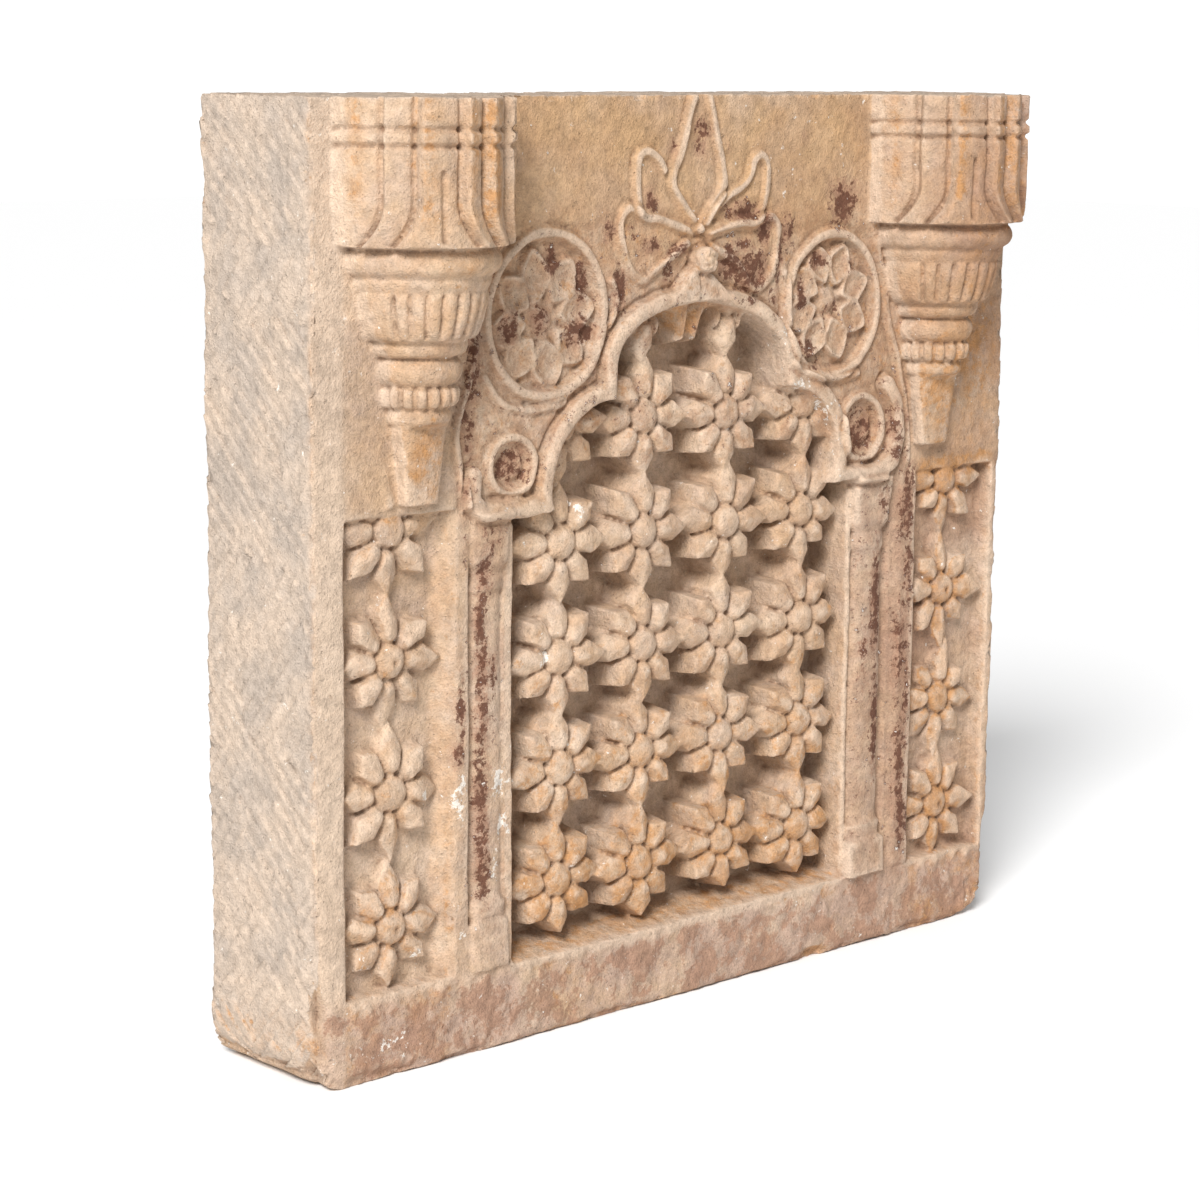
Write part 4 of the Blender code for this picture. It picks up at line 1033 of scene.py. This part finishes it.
def stone_masks(mesh, face, front):
    """One mask for each stain and for the painted shade: where it may lie, before the material breaks it up.
    """
    points = get_points(mesh) / MM
    normals = get_normals(mesh)
    edges = np.empty(len(mesh.edges) * 2, np.int32)
    mesh.edges.foreach_get("vertices", edges)
    sharp, bend = (bending(points, normals, edges.reshape(-1, 2), spreads) for spreads in (1, 2))
    x, y, z = points.T
    height = front - y
    edge_in = HALF_WIDTH - np.abs(x)
    side = (np.abs(normals[:, 0]) > 0.6) * (edge_in < 6)
    back = (y > BACK - 7) * (normals[:, 1] > 0.5)
    above = (normals[:, 2] > 0.6) * (z > TOP - 6)
    border = (1 - step(-279, -273, x)) * (np.abs(height) < 3) * step(44, 66, z)
    tooled = np.clip(1.0 * side + back + 0.7 * above + 0.35 * border, 0, 1)
    carved = (1 - np.clip(side + back + above, 0, 1)) * (y < front + 45)
    facing = step(-0.2, 0.35, -normals[:, 1])
    near = sampled(face, blurred(face.height, 7), x, z)
    wide = sampled(face, blurred(face.height, 22), x, z)
    on_face = 1 - step(7.0, 10.0, height)
    # How far a point lies below the face around it: this sets the painted shade, with soil, in the recesses.
    deep = 0.5 * step(0.5, 6.0, near - height) + 0.75 * step(3.0, 24.0, wide - height)
    left_capital = blob(x, z, (LEFT_CAPITAL_X, 470), 62, 115)
    right_capital = blob(x, z, (RIGHT_CAPITAL_X, 470), 66, 118)
    capital = np.maximum(left_capital, right_capital) * step(4, 9, height)
    raised = step(0.3, 1.5, height - near) * (height > -4) * (height < 9)
    spandrel = between(-190, 200, x, 8) * between(335, 500, z, 14) * (height > -6) * (height < 9)
    paint = np.maximum(patches(x, z, PAINT_PATCHES), 0.34 * spandrel)
    for left, right, strength in PAINT_STRIPS:
        paint = np.maximum(paint, strength * between(left, right, x, 3) * between(56, 330, z, 6))
    ochre = between(-165, 160, x, 22) * between(478, 600, z, 30)
    ochre = np.maximum(ochre, 0.6 * blob(x, z, (240, 420), 60, 90) * (1 - capital))
    ochre = np.maximum(ochre * (1 - step(8, 12, height)), 0.30 * capital)
    band = 1 - step(36, 60, z)
    stains = np.zeros(len(x))
    for axis, own in ((LEFT_CAPITAL_X, x < 0), (RIGHT_CAPITAL_X, x > 0)):
        degrees = np.degrees(np.arctan2(x - axis, np.maximum(height, 0.1)))
        for middle, wide, strength in BLOCK_STAINS:
            stains = np.maximum(stains, strength * own * np.exp(-(((degrees - middle) / wide) ** 2)))
    stains = stains * (height > 8) * step(484, 510, z)
    lower = between(-152, 150, x, 6) * (height > -25) * (height < -1) * (0.45 + 0.55 * (1 - step(90, 260, z)))
    left_strip = (x < -196) * (x > -276) * (z < 334) * (height > -5) * (height < 4)
    left_strip = left_strip * (1 - 0.4 * step(100, 180, z))
    stained_block = between(238, 300, x, 16) * (z > 484) * (height > 5)
    rusty = np.maximum.reduce([
        0.50 * capital, stains, 1.0 * blob(x, z, (-221, 362), 24, 36) * (height > 3),
        1.0 * blob(x, z, (221, 380), 34, 56) * (height > 3), 0.85 * lower,
        0.9 * blob(x, z, (268, 400), 34, 75) * (height < 4),
        0.95 * between(214, 292, x, 6) * (z < 330) * (height > -5), 0.75 * left_strip,
        1.0 * blob(x, z, (0, 436), 44, 22) * (height < 0), 0.9 * blob(x, z, (-296, 28), 7, 13),
        0.95 * between(236, 300, x, 14) * (z > 484) * (height > 5),
        0.55 * spandrel, 0.35 * between(-205, -186, x, 4) * between(55, 300, z, 20),
    ])
    arris = 0.6 * np.exp(-((np.hypot(x + 298, y - front) / 3.0) ** 2))
    fillets = step(0.3, 1.3, height - near) * (height < 8)
    return {
        # Painted shade and soil in the recesses, darker the deeper a point lies below the face around it.
        "hollow_shade_and_soil": np.clip(deep, 0, 1) * on_face * carved,
        # Painted shade, with soil, in the creases where the skin bends inward.
        "crease": np.maximum(step(0.10, 0.30, sharp), step(0.05, 0.24, bend)) * (1 - 0.6 * tooled),
        "edge": np.maximum(step(0.09, 0.28, -sharp), step(0.05, 0.25, -bend)),
        "paint": paint * (height > -9) * on_face * facing,
        "limewash": patches(x, z, LIME_PATCHES) * (height > -12) * facing,
        "ochre": ochre * (1 - 0.8 * fillets) * (1 - step(0.5, 0.9, normals[:, 2]) * (z > 565)),
        "rust": np.maximum(rusty * facing, arris),
        "rose": np.maximum(band * (y < front + 6), 0.8 * stained_block) * facing,
        "tooled": tooled,
        "pale": np.maximum(0.75 * raised, 0.8 * border) * carved,
        # Painted shade: the right of the face is darkened and browned, as if the light fell off there.
        "film": step(110, 215, x) * facing * carved,
    }


def add_mask(mesh, name, values):
    layer = mesh.attributes.new(name, "FLOAT", "POINT")
    layer.data.foreach_set("value", np.clip(values, 0, 1).astype(np.float32))


# The stone

# The pieces that the skin is parted into, so that each keeps its fine relief
FIELDS = (
    ("left_flank", lambda x, y, z: (x < -181) & (y < -46)),
    ("right_flank", lambda x, y, z: (x > 188) & (y < -46)),
    ("jali_foot", lambda x, y, z: (y < 2) & (np.abs(x - 1) < 152) & (z > 47) & (z < 199)),
    ("jali_middle", lambda x, y, z: (y < 2) & (np.abs(x - 1) < 152) & (z > 47) & (z < 340)),
    ("arch_head", lambda x, y, z: (y < 2) & (z > 47)),
    ("lower_back", lambda x, y, z: (y > 20) & (z < TOP / 2)),
    ("stone_body", lambda x, y, z: np.isfinite(x)),
)


def carve_skin(sizes):
    """The whole skin of the stone as one closed mesh of triangles, with its masks."""
    front = BACK - sizes.slab_depth / MM
    spacing = sizes.grid_step / MM
    face = carve_face(sizes)
    solids = [slab_mesh(face, front)]
    for axis, scale, seed in ((LEFT_CAPITAL_X, 1.0, 95), (RIGHT_CAPITAL_X, RIGHT_SCALE, 97)):
        solids.append(capital_mesh(capital_solid(axis, scale, front, spacing, seed)))
    points, quads, triangles = [], [], []
    total = 0
    for own_points, own_quads, own_triangles in solids:
        points.append(own_points)
        quads.append(own_quads + total)
        triangles.append(own_triangles + total)
        total += len(own_points)
    points, quads, triangles = (np.concatenate(parts) for parts in (points, quads, triangles))
    mesh = mesh_from("stone_skin", points * MM, quads, triangles)
    skin = bpy.data.objects.new("stone_skin", mesh)
    bpy.context.scene.collection.objects.link(skin)
    voxel = sizes.skin_step * 1.0
    apply_modifier(skin, "REMESH", mode="VOXEL", voxel_size=voxel, adaptivity=0.0)
    apply_modifier(skin, "SMOOTH", factor=0.5, iterations=1)
    weather(skin.data, front)
    count = sum(len(polygon.vertices) - 2 for polygon in skin.data.polygons)
    wanted = sizes.triangles * 1.0
    apply_modifier(skin, "DECIMATE", ratio=min(1.0, wanted / count), use_collapse_triangulate=True)
    return skin, stone_masks(skin.data, face, front)


def part_skin(skin, masks):
    """Parts the skin into its fields, each shaded with the whole skin's normals."""
    mesh = skin.data
    points, normals = get_points(mesh), get_normals(mesh)
    corners = np.empty(len(mesh.loops), np.int32)
    mesh.loops.foreach_get("vertex_index", corners)
    triangles = corners.reshape(-1, 3)
    middle = points[triangles].mean(axis=1) / MM
    free = np.ones(len(triangles), bool)
    pieces = []
    for name, holds in FIELDS:
        own = free & holds(*middle.T)
        free &= ~own
        used, indices = np.unique(triangles[own], return_inverse=True)
        part = mesh_from(name, points[used], np.empty((0, 4), np.int32), indices.reshape(-1, 3))
        for label, values in masks.items():
            add_mask(part, label, values[used])
        part.shade_smooth()
        part.normals_split_custom_set_from_vertices(normals[used])
        piece = bpy.data.objects.new(name, part)
        bpy.context.scene.collection.objects.link(piece)
        pieces.append(piece)
    bpy.data.objects.remove(skin)
    bpy.data.meshes.remove(mesh)
    return pieces


# Materials

def new_group(name, inputs, outputs):
    """A shader node group with named sockets: name, kind and default of each input."""
    group = bpy.data.node_groups.new(name, "ShaderNodeTree")
    for label, kind, default in inputs:
        socket = group.interface.new_socket(name=label, in_out="INPUT", socket_type=kind)
        if default is not None:
            socket.default_value = default
    for label, kind in outputs:
        group.interface.new_socket(name=label, in_out="OUTPUT", socket_type=kind)
    return group


# Places of the colour sockets and of the value sockets of a Mix node
COLOUR_A, COLOUR_B, COLOUR_RESULT = 6, 7, 2
VALUE_SHARE, VALUE_A, VALUE_B, VALUE_RESULT = 0, 2, 3, 0


class Wires:
    """Adds nodes to a tree and links them, with less to write."""

    def __init__(self, tree):
        self.tree = tree

    def add(self, kind, **settings):
        node = self.tree.nodes.new(kind)
        for key, value in settings.items():
            setattr(node, key, value)
        return node

    def link(self, source, target):
        self.tree.links.new(source, target)

    def put(self, socket, value):
        if hasattr(value, "is_output"):
            self.link(value, socket)
        elif value is not None:
            socket.default_value = value

    def math(self, operation, first, second=None, clamp=False):
        node = self.add("ShaderNodeMath", operation=operation, use_clamp=clamp)
        self.put(node.inputs[0], first)
        self.put(node.inputs[1], second)
        return node.outputs[0]

    def soft_step(self, value, low, high):
        node = self.add("ShaderNodeMapRange", interpolation_type="SMOOTHSTEP")
        self.put(node.inputs["Value"], value)
        self.put(node.inputs["From Min"], low)
        self.put(node.inputs["From Max"], high)
        return node.outputs["Result"]

    def noise(self, vector, scale, detail=4.0, roughness=0.55):
        node = self.add("ShaderNodeTexNoise")
        self.put(node.inputs["Vector"], vector)
        self.put(node.inputs["Scale"], scale)
        self.put(node.inputs["Detail"], detail)
        self.put(node.inputs["Roughness"], roughness)
        return node.outputs["Fac"]

    def mix(self, share, first, second):
        node = self.add("ShaderNodeMix", data_type="RGBA")
        self.put(node.inputs["Factor"], share)
        self.put(node.inputs[COLOUR_A], first)
        self.put(node.inputs[COLOUR_B], second)
        return node.outputs[COLOUR_RESULT]


def flaking_group():
    """Flakes: a mask broken up into ragged patches, as old paint and limewash leave."""
    group = new_group(
        "Flaking patches",
        (
            ("Vector", "NodeSocketVector", None), ("Mask", "NodeSocketFloat", 0.5),
            ("Size", "NodeSocketFloat", 60.0), ("Cover", "NodeSocketFloat", 0.5),
            ("Edge", "NodeSocketFloat", 0.04),
        ),
        (("Flakes", "NodeSocketFloat"),),
    )
    wires = Wires(group)
    given = wires.add("NodeGroupInput").outputs
    result = wires.add("NodeGroupOutput").inputs
    broad = wires.noise(given["Vector"], given["Size"], 6.0, 0.72)
    reach = wires.math("MULTIPLY", given["Mask"], given["Cover"])
    level = wires.math("SUBTRACT", 0.70, wires.math("MULTIPLY", reach, 0.40))
    over = wires.math("SUBTRACT", broad, level)
    wires.link(wires.soft_step(over, 0.0, given["Edge"]), result["Flakes"])
    return group


def clouding_group():
    """Clouds: a soft uneven spread of a stain inside its mask."""
    group = new_group(
        "Clouded stain",
        (
            ("Vector", "NodeSocketVector", None), ("Mask", "NodeSocketFloat", 1.0),
            ("Size", "NodeSocketFloat", 12.0), ("Strength", "NodeSocketFloat", 1.0),
            ("Ragged", "NodeSocketFloat", 0.55),
        ),
        (("Stain", "NodeSocketFloat"),),
    )
    wires = Wires(group)
    given = wires.add("NodeGroupInput").outputs
    result = wires.add("NodeGroupOutput").inputs
    clouds = wires.noise(given["Vector"], given["Size"], 5.0, given["Ragged"])
    spread = wires.soft_step(clouds, 0.34, 0.66)
    share = wires.math("MULTIPLY", spread, given["Mask"])
    share = wires.math("MULTIPLY", share, given["Strength"], clamp=True)
    wires.link(share, result["Stain"])
    return group


def streaked(wires, vector, direction, long, thin):
    """Coordinates stretched so that noise in them runs in streaks along a direction."""
    first = Vector(direction).normalized()
    second = first.orthogonal().normalized()
    third = first.cross(second)
    turn = Matrix((first, second, third)).transposed()
    node = wires.add("ShaderNodeMapping", vector_type="TEXTURE")
    node.inputs["Rotation"].default_value = turn.to_euler()
    node.inputs["Scale"].default_value = (long, thin, thin)
    wires.link(vector, node.inputs["Vector"])
    return node.outputs["Vector"]


def stroke_group():
    """Tool strokes: crisp parallel cuts in patches that lean one way or the other."""
    group = new_group(
        "Chisel strokes",
        (("Vector", "NodeSocketVector", None),),
        (("Height", "NodeSocketFloat"), ("Scratch", "NodeSocketFloat")),
    )
    wires = Wires(group)
    given = wires.add("NodeGroupInput").outputs
    result = wires.add("NodeGroupOutput").inputs
    patch = wires.soft_step(wires.noise(given["Vector"], 15.0, 2.0, 0.5), 0.53, 0.56)
    heights, scratches = [], []
    for direction in ((0.5, -0.62, -0.78), (0.5, -0.66, 0.80)):
        stretched = streaked(wires, given["Vector"], direction, 0.055, 0.0052)
        heights.append(wires.noise(stretched, 1.0, 2.0, 0.5))
        thin = streaked(wires, given["Vector"], direction, 0.016, 0.0011)
        scratches.append(wires.noise(thin, 1.0, 2.0, 0.6))
    for name, pair in (("Height", heights), ("Scratch", scratches)):
        node = wires.add("ShaderNodeMix", data_type="FLOAT")
        wires.link(patch, node.inputs[VALUE_SHARE])
        wires.link(pair[0], node.inputs[VALUE_A])
        wires.link(pair[1], node.inputs[VALUE_B])
        wires.link(node.outputs[VALUE_RESULT], result[name])
    return group


def grain_group():
    """Grain: the height of the sand grains, small pits and lumps of worn sandstone."""
    group = new_group(
        "Sandstone grain",
        (("Vector", "NodeSocketVector", None),),
        (("Height", "NodeSocketFloat"), ("Speckle", "NodeSocketFloat"), ("Pits", "NodeSocketFloat")),
    )
    wires = Wires(group)
    given = wires.add("NodeGroupInput").outputs
    result = wires.add("NodeGroupOutput").inputs
    sand = wires.noise(given["Vector"], 900.0, 2.0, 0.6)
    worn = wires.noise(given["Vector"], 150.0, 5.0, 0.66)
    pits = wires.soft_step(wires.noise(given["Vector"], 420.0, 2.0, 0.5), 0.66, 0.76)
    height = wires.math("ADD", wires.math("MULTIPLY", sand, 0.34), worn)
    height = wires.math("SUBTRACT", height, wires.math("MULTIPLY", pits, 0.25))
    wires.link(height, result["Height"])
    speckle = wires.math("ADD", wires.math("MULTIPLY", sand, 0.4), wires.math("MULTIPLY", worn, 0.6))
    wires.link(speckle, result["Speckle"])
    wires.link(pits, result["Pits"])
    return group


def use_group(wires, group, **values):
    node = wires.add("ShaderNodeGroup", node_tree=group)
    for label, value in values.items():
        wires.put(node.inputs[label], value)
    return node.outputs


def mask_of(wires, name):
    return wires.add("ShaderNodeAttribute", attribute_type="GEOMETRY", attribute_name=name).outputs["Fac"]


MASKS = ("hollow_shade_and_soil", "crease", "edge", "paint", "limewash", "ochre", "rust", "rose", "tooled", "pale", "film")


def stone_material(colours):
    """Warm sandstone with stains, soil and painted shade in its hollows and creases, painted shade on the
    right of the face, flaking paint and limewash.
    """
    material = bpy.data.materials.new("worn_sandstone")
    material.use_nodes = True
    tree = material.node_tree
    shader = tree.nodes["Principled BSDF"]
    wires = Wires(tree)
    place = wires.add("ShaderNodeNewGeometry").outputs["Position"]
    flaking, clouding, grain, strokes = flaking_group(), clouding_group(), grain_group(), stroke_group()
    masks = {name: mask_of(wires, name) for name in MASKS}
    skin = use_group(wires, grain, Vector=place)
    tool = use_group(wires, strokes, Vector=place)

    def tinted(colour, mask, tint, share):
        return wires.mix(wires.math("MULTIPLY", mask, share), colour, tuple(tint))

    def stained(colour, mask, tint, size, strength, ragged=0.6):
        clouds = use_group(
            wires, clouding, Vector=place, Mask=mask, Size=size, Strength=strength, Ragged=ragged
        )
        return wires.mix(clouds["Stain"], colour, tuple(tint))

    def flaked(colour, mask, tint, size, cover, edge, share):
        flakes = use_group(wires, flaking, Vector=place, Mask=mask, Size=size, Cover=cover, Edge=edge)
        return tinted(colour, flakes["Flakes"], tint, share)

    colour = stained(tuple(colours.sandstone), 1.0, colours.pale_stone, 14.0, 0.9)
    colour = stained(colour, 1.0, colours.grey_stone, 31.0, 0.55)
    colour = stained(colour, 1.0, colours.warm_stone, 70.0, 0.30, 0.7)
    side = stained(tuple(colours.side_stone), 1.0, colours.pale_stone, 24.0, 0.55, 0.65)
    colour = wires.mix(masks["tooled"], colour, side)
    # Painted shade on the right of the face, in clouds of the haze colour.
    colour = stained(colour, masks["film"], colours.haze, 9.0, 0.75)
    colour = stained(colour, masks["ochre"], colours.ochre, 11.0, 1.2, 0.55)
    colour = stained(colour, masks["ochre"], colours.haze, 19.0, 0.34, 0.62)
    colour = stained(colour, masks["ochre"], colours.pale_stone, 27.0, 0.18, 0.66)
    colour = stained(colour, masks["rust"], colours.rust, 60.0, 0.75, 0.74)
    colour = flaked(colour, masks["rust"], colours.rust, 95.0, 0.72, 0.14, 0.72)
    colour = stained(colour, masks["rose"], colours.rose, 26.0, 1.2, 0.72)
    colour = flaked(colour, masks["rose"], colours.haze, 38.0, 0.58, 0.07, 0.72)
    colour = stained(colour, masks["paint"], colours.haze, 60.0, 1.15, 0.72)
    colour = tinted(colour, masks["pale"], colours.pale_stone, 0.75)
    # Painted shade, with soil: the recesses and the creases are darkened with the soil colour.
    colour = tinted(colour, masks["hollow_shade_and_soil"], colours.soil, 0.38)
    colour = tinted(colour, masks["crease"], colours.soil, 0.78)
    colour = tinted(colour, masks["edge"], colours.pale_stone, 0.42)
    colour = flaked(colour, masks["paint"], colours.haze, 230.0, 1.0, 0.12, 0.62)
    colour = flaked(colour, masks["paint"], colours.paint, 170.0, 0.84, 0.07, 0.90)
    lime = wires.math("ADD", wires.math("MULTIPLY", masks["limewash"], 0.85), 0.16)
    colour = flaked(colour, lime, colours.limewash, 170.0, 0.62, 0.02, 0.85)
    speck = wires.soft_step(skin["Speckle"], 0.30, 0.70)
    scratch = wires.soft_step(tool["Scratch"], 0.30, 0.70)
    value = wires.math("ADD", wires.math("MULTIPLY", speck, 0.46), wires.math("MULTIPLY", scratch, 0.04))
    value = wires.math("SUBTRACT", wires.math("ADD", value, 0.73), wires.math("MULTIPLY", skin["Pits"], 0.08))
    tone = wires.add("ShaderNodeHueSaturation")
    wires.put(tone.inputs["Value"], value)
    wires.link(colour, tone.inputs["Color"])
    wires.link(tone.outputs["Color"], shader.inputs["Base Color"])
    shader.inputs["Roughness"].default_value = 0.92
    shader.inputs["Specular IOR Level"].default_value = 0.2
    # Strokes are deep on the tooled sides and faint on the carved face.
    depth = wires.math("ADD", wires.math("MULTIPLY", masks["tooled"], 0.85), 0.08)
    marks = wires.math("ADD", tool["Height"], tool["Scratch"])
    height = wires.math("MULTIPLY", marks, wires.math("MULTIPLY", depth, 0.13))
    height = wires.math("ADD", height, skin["Height"])
    bump = wires.add("ShaderNodeBump")
    bump.inputs["Strength"].default_value = 1.0
    bump.inputs["Distance"].default_value = 0.0022
    wires.link(height, bump.inputs["Height"])
    wires.link(bump.outputs["Normal"], shader.inputs["Normal"])
    return material


def floor_material(colours):
    """A plain pale floor with a faint unevenness in its sheen."""
    material = bpy.data.materials.new("pale_floor")
    material.use_nodes = True
    shader = material.node_tree.nodes["Principled BSDF"]
    wires = Wires(material.node_tree)
    place = wires.add("ShaderNodeNewGeometry").outputs["Position"]
    sheen = wires.math("ADD", wires.math("MULTIPLY", wires.noise(place, 5.0), 0.06), 0.72)
    wires.link(sheen, shader.inputs["Roughness"])
    shader.inputs["Base Color"].default_value = tuple(colours.floor)
    return material


# Stage: the camera's place, aim in degrees and lens, and where the lights come from

CAMERA_PLACE = (-1.32270, -1.37928, 0.59523)
CAMERA_YAW, CAMERA_PITCH, CAMERA_ROLL = 43.15, 10.22, 0.537
CAMERA_LENS = 90.9
KEY_FROM = (-0.70, -0.48, 0.66)
KEY_POWER, KEY_WIDTH = 3.45, 20
SOFTBOX_PLACE, SOFTBOX_AIM = (-1.75, -1.10, 1.35), (-0.1, 0.0, 0.3)
SOFTBOX_SIZE, SOFTBOX_POWER = 0.8, 11.0
# Strength of the white surround as a light, and how much more of it the camera sees
SURROUND_LIGHT, SURROUND_SEEN = 0.42, 0.70
FLOOR_HALF = 9.0


def add_camera():
    """The camera at the photograph's place, aim and roll."""
    yaw, pitch, roll = (math.radians(a) for a in (CAMERA_YAW, CAMERA_PITCH, CAMERA_ROLL))
    forward = Vector((math.sin(yaw) * math.cos(pitch), math.cos(yaw) * math.cos(pitch), -math.sin(pitch)))
    level = Vector((math.cos(yaw), -math.sin(yaw), 0.0))
    up = level.cross(forward)
    right = math.cos(roll) * level + math.sin(roll) * up
    top = -math.sin(roll) * level + math.cos(roll) * up
    turn = Matrix((right, top, -forward)).transposed()
    data = bpy.data.cameras.new("camera")
    data.lens = CAMERA_LENS
    data.sensor_width = 36.0
    camera = bpy.data.objects.new("camera", data)
    camera.matrix_world = Matrix.Translation(CAMERA_PLACE) @ turn.to_4x4()
    bpy.context.scene.collection.objects.link(camera)
    bpy.context.scene.camera = camera


def add_light(name, kind, place, aim, power):
    """A light at a place that shines towards its aim."""
    data = bpy.data.lights.new(name, kind)
    data.energy = power
    light = bpy.data.objects.new(name, data)
    light.location = place
    light.rotation_euler = (Vector(place) - Vector(aim)).to_track_quat("Z", "Y").to_euler()
    bpy.context.scene.collection.objects.link(light)
    return data


def build_stage(colours):
    """A plain pale floor under a white surround, a soft sun from the upper left and the camera."""
    mesh = bpy.data.meshes.new("floor")
    corners = [(x * FLOOR_HALF, y * FLOOR_HALF, 0.0) for x, y in ((-1, -1), (1, -1), (1, 1), (-1, 1))]
    mesh.from_pydata(corners, [], [(0, 1, 2, 3)])
    mesh.materials.append(floor_material(colours))
    floor = bpy.data.objects.new("floor", mesh)
    bpy.context.scene.collection.objects.link(floor)
    add_camera()
    key = add_light("sky_key", "SUN", KEY_FROM, (0, 0, 0), KEY_POWER)
    key.angle = math.radians(KEY_WIDTH)
    softbox = add_light("left_softbox", "AREA", SOFTBOX_PLACE, SOFTBOX_AIM, SOFTBOX_POWER)
    softbox.shape = "DISK"
    softbox.size = SOFTBOX_SIZE
    softbox.color = (1.0, 0.985, 0.965)
    world = bpy.data.worlds.new("studio")
    world.use_nodes = True
    wires = Wires(world.node_tree)
    background = world.node_tree.nodes["Background"]
    background.inputs["Color"].default_value = (1.0, 1.0, 1.0, 1.0)
    seen = wires.add("ShaderNodeLightPath").outputs["Is Camera Ray"]
    strength = wires.math("ADD", wires.math("MULTIPLY", seen, SURROUND_SEEN), SURROUND_LIGHT)
    wires.link(strength, background.inputs["Strength"])
    bpy.context.scene.world = world
    bpy.context.scene.view_settings.view_transform = "Standard"


# Operators

class JALI_OT_carve_stone(bpy.types.Operator):
    """Carves, joins and weathers the stone that stands for the panel"""

    bl_idname = "jali.carve_stone"
    bl_label = "Carve the stone"

    def execute(self, context):
        material = stone_material(context.scene.jali_colours)
        for piece in part_skin(*carve_skin(context.scene.jali_sizes)):
            if not piece.data.polygons:
                raise RuntimeError(f"{piece.name} has no faces")
            piece.data.materials.append(material)
            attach(piece, "root")
            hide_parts(NODE)
        return {"FINISHED"}


class JALI_OT_build_stage(bpy.types.Operator):
    """Adds the pale floor, the camera and the soft lights"""

    bl_idname = "jali.build_stage"
    bl_label = "Build the stage"

    def execute(self, context):
        build_stage(context.scene.jali_colours)
        return {"FINISHED"}


class JALI_PT_panel(bpy.types.Panel):
    """Lists the steps and the sizes and colours they use"""

    bl_idname = "JALI_PT_panel"
    bl_label = "Carved jali panel"
    bl_space_type = "VIEW_3D"
    bl_region_type = "UI"
    bl_category = "Jali"

    def draw(self, context):
        column = self.layout.column()
        column.operator(JALI_OT_build_stage.bl_idname)
        column.operator(JALI_OT_carve_stone.bl_idname)
        for group in (context.scene.jali_sizes, context.scene.jali_colours):
            box = self.layout.box()
            for name in group.bl_rna.properties.keys():
                if name not in ("rna_type", "name"):
                    box.prop(group, name)


CLASSES = (JaliSizes, JaliColours, JALI_OT_carve_stone, JALI_OT_build_stage, JALI_PT_panel)


def register():
    for item in CLASSES:
        bpy.utils.register_class(item)
    bpy.types.Scene.jali_sizes = PointerProperty(type=JaliSizes)
    bpy.types.Scene.jali_colours = PointerProperty(type=JaliColours)


def unregister():
    del bpy.types.Scene.jali_colours
    del bpy.types.Scene.jali_sizes
    for item in reversed(CLASSES):
        bpy.utils.unregister_class(item)


def main():
    register()
    bpy.ops.jali.build_stage()
    bpy.ops.jali.carve_stone()


if __name__ == "__main__":
    main()
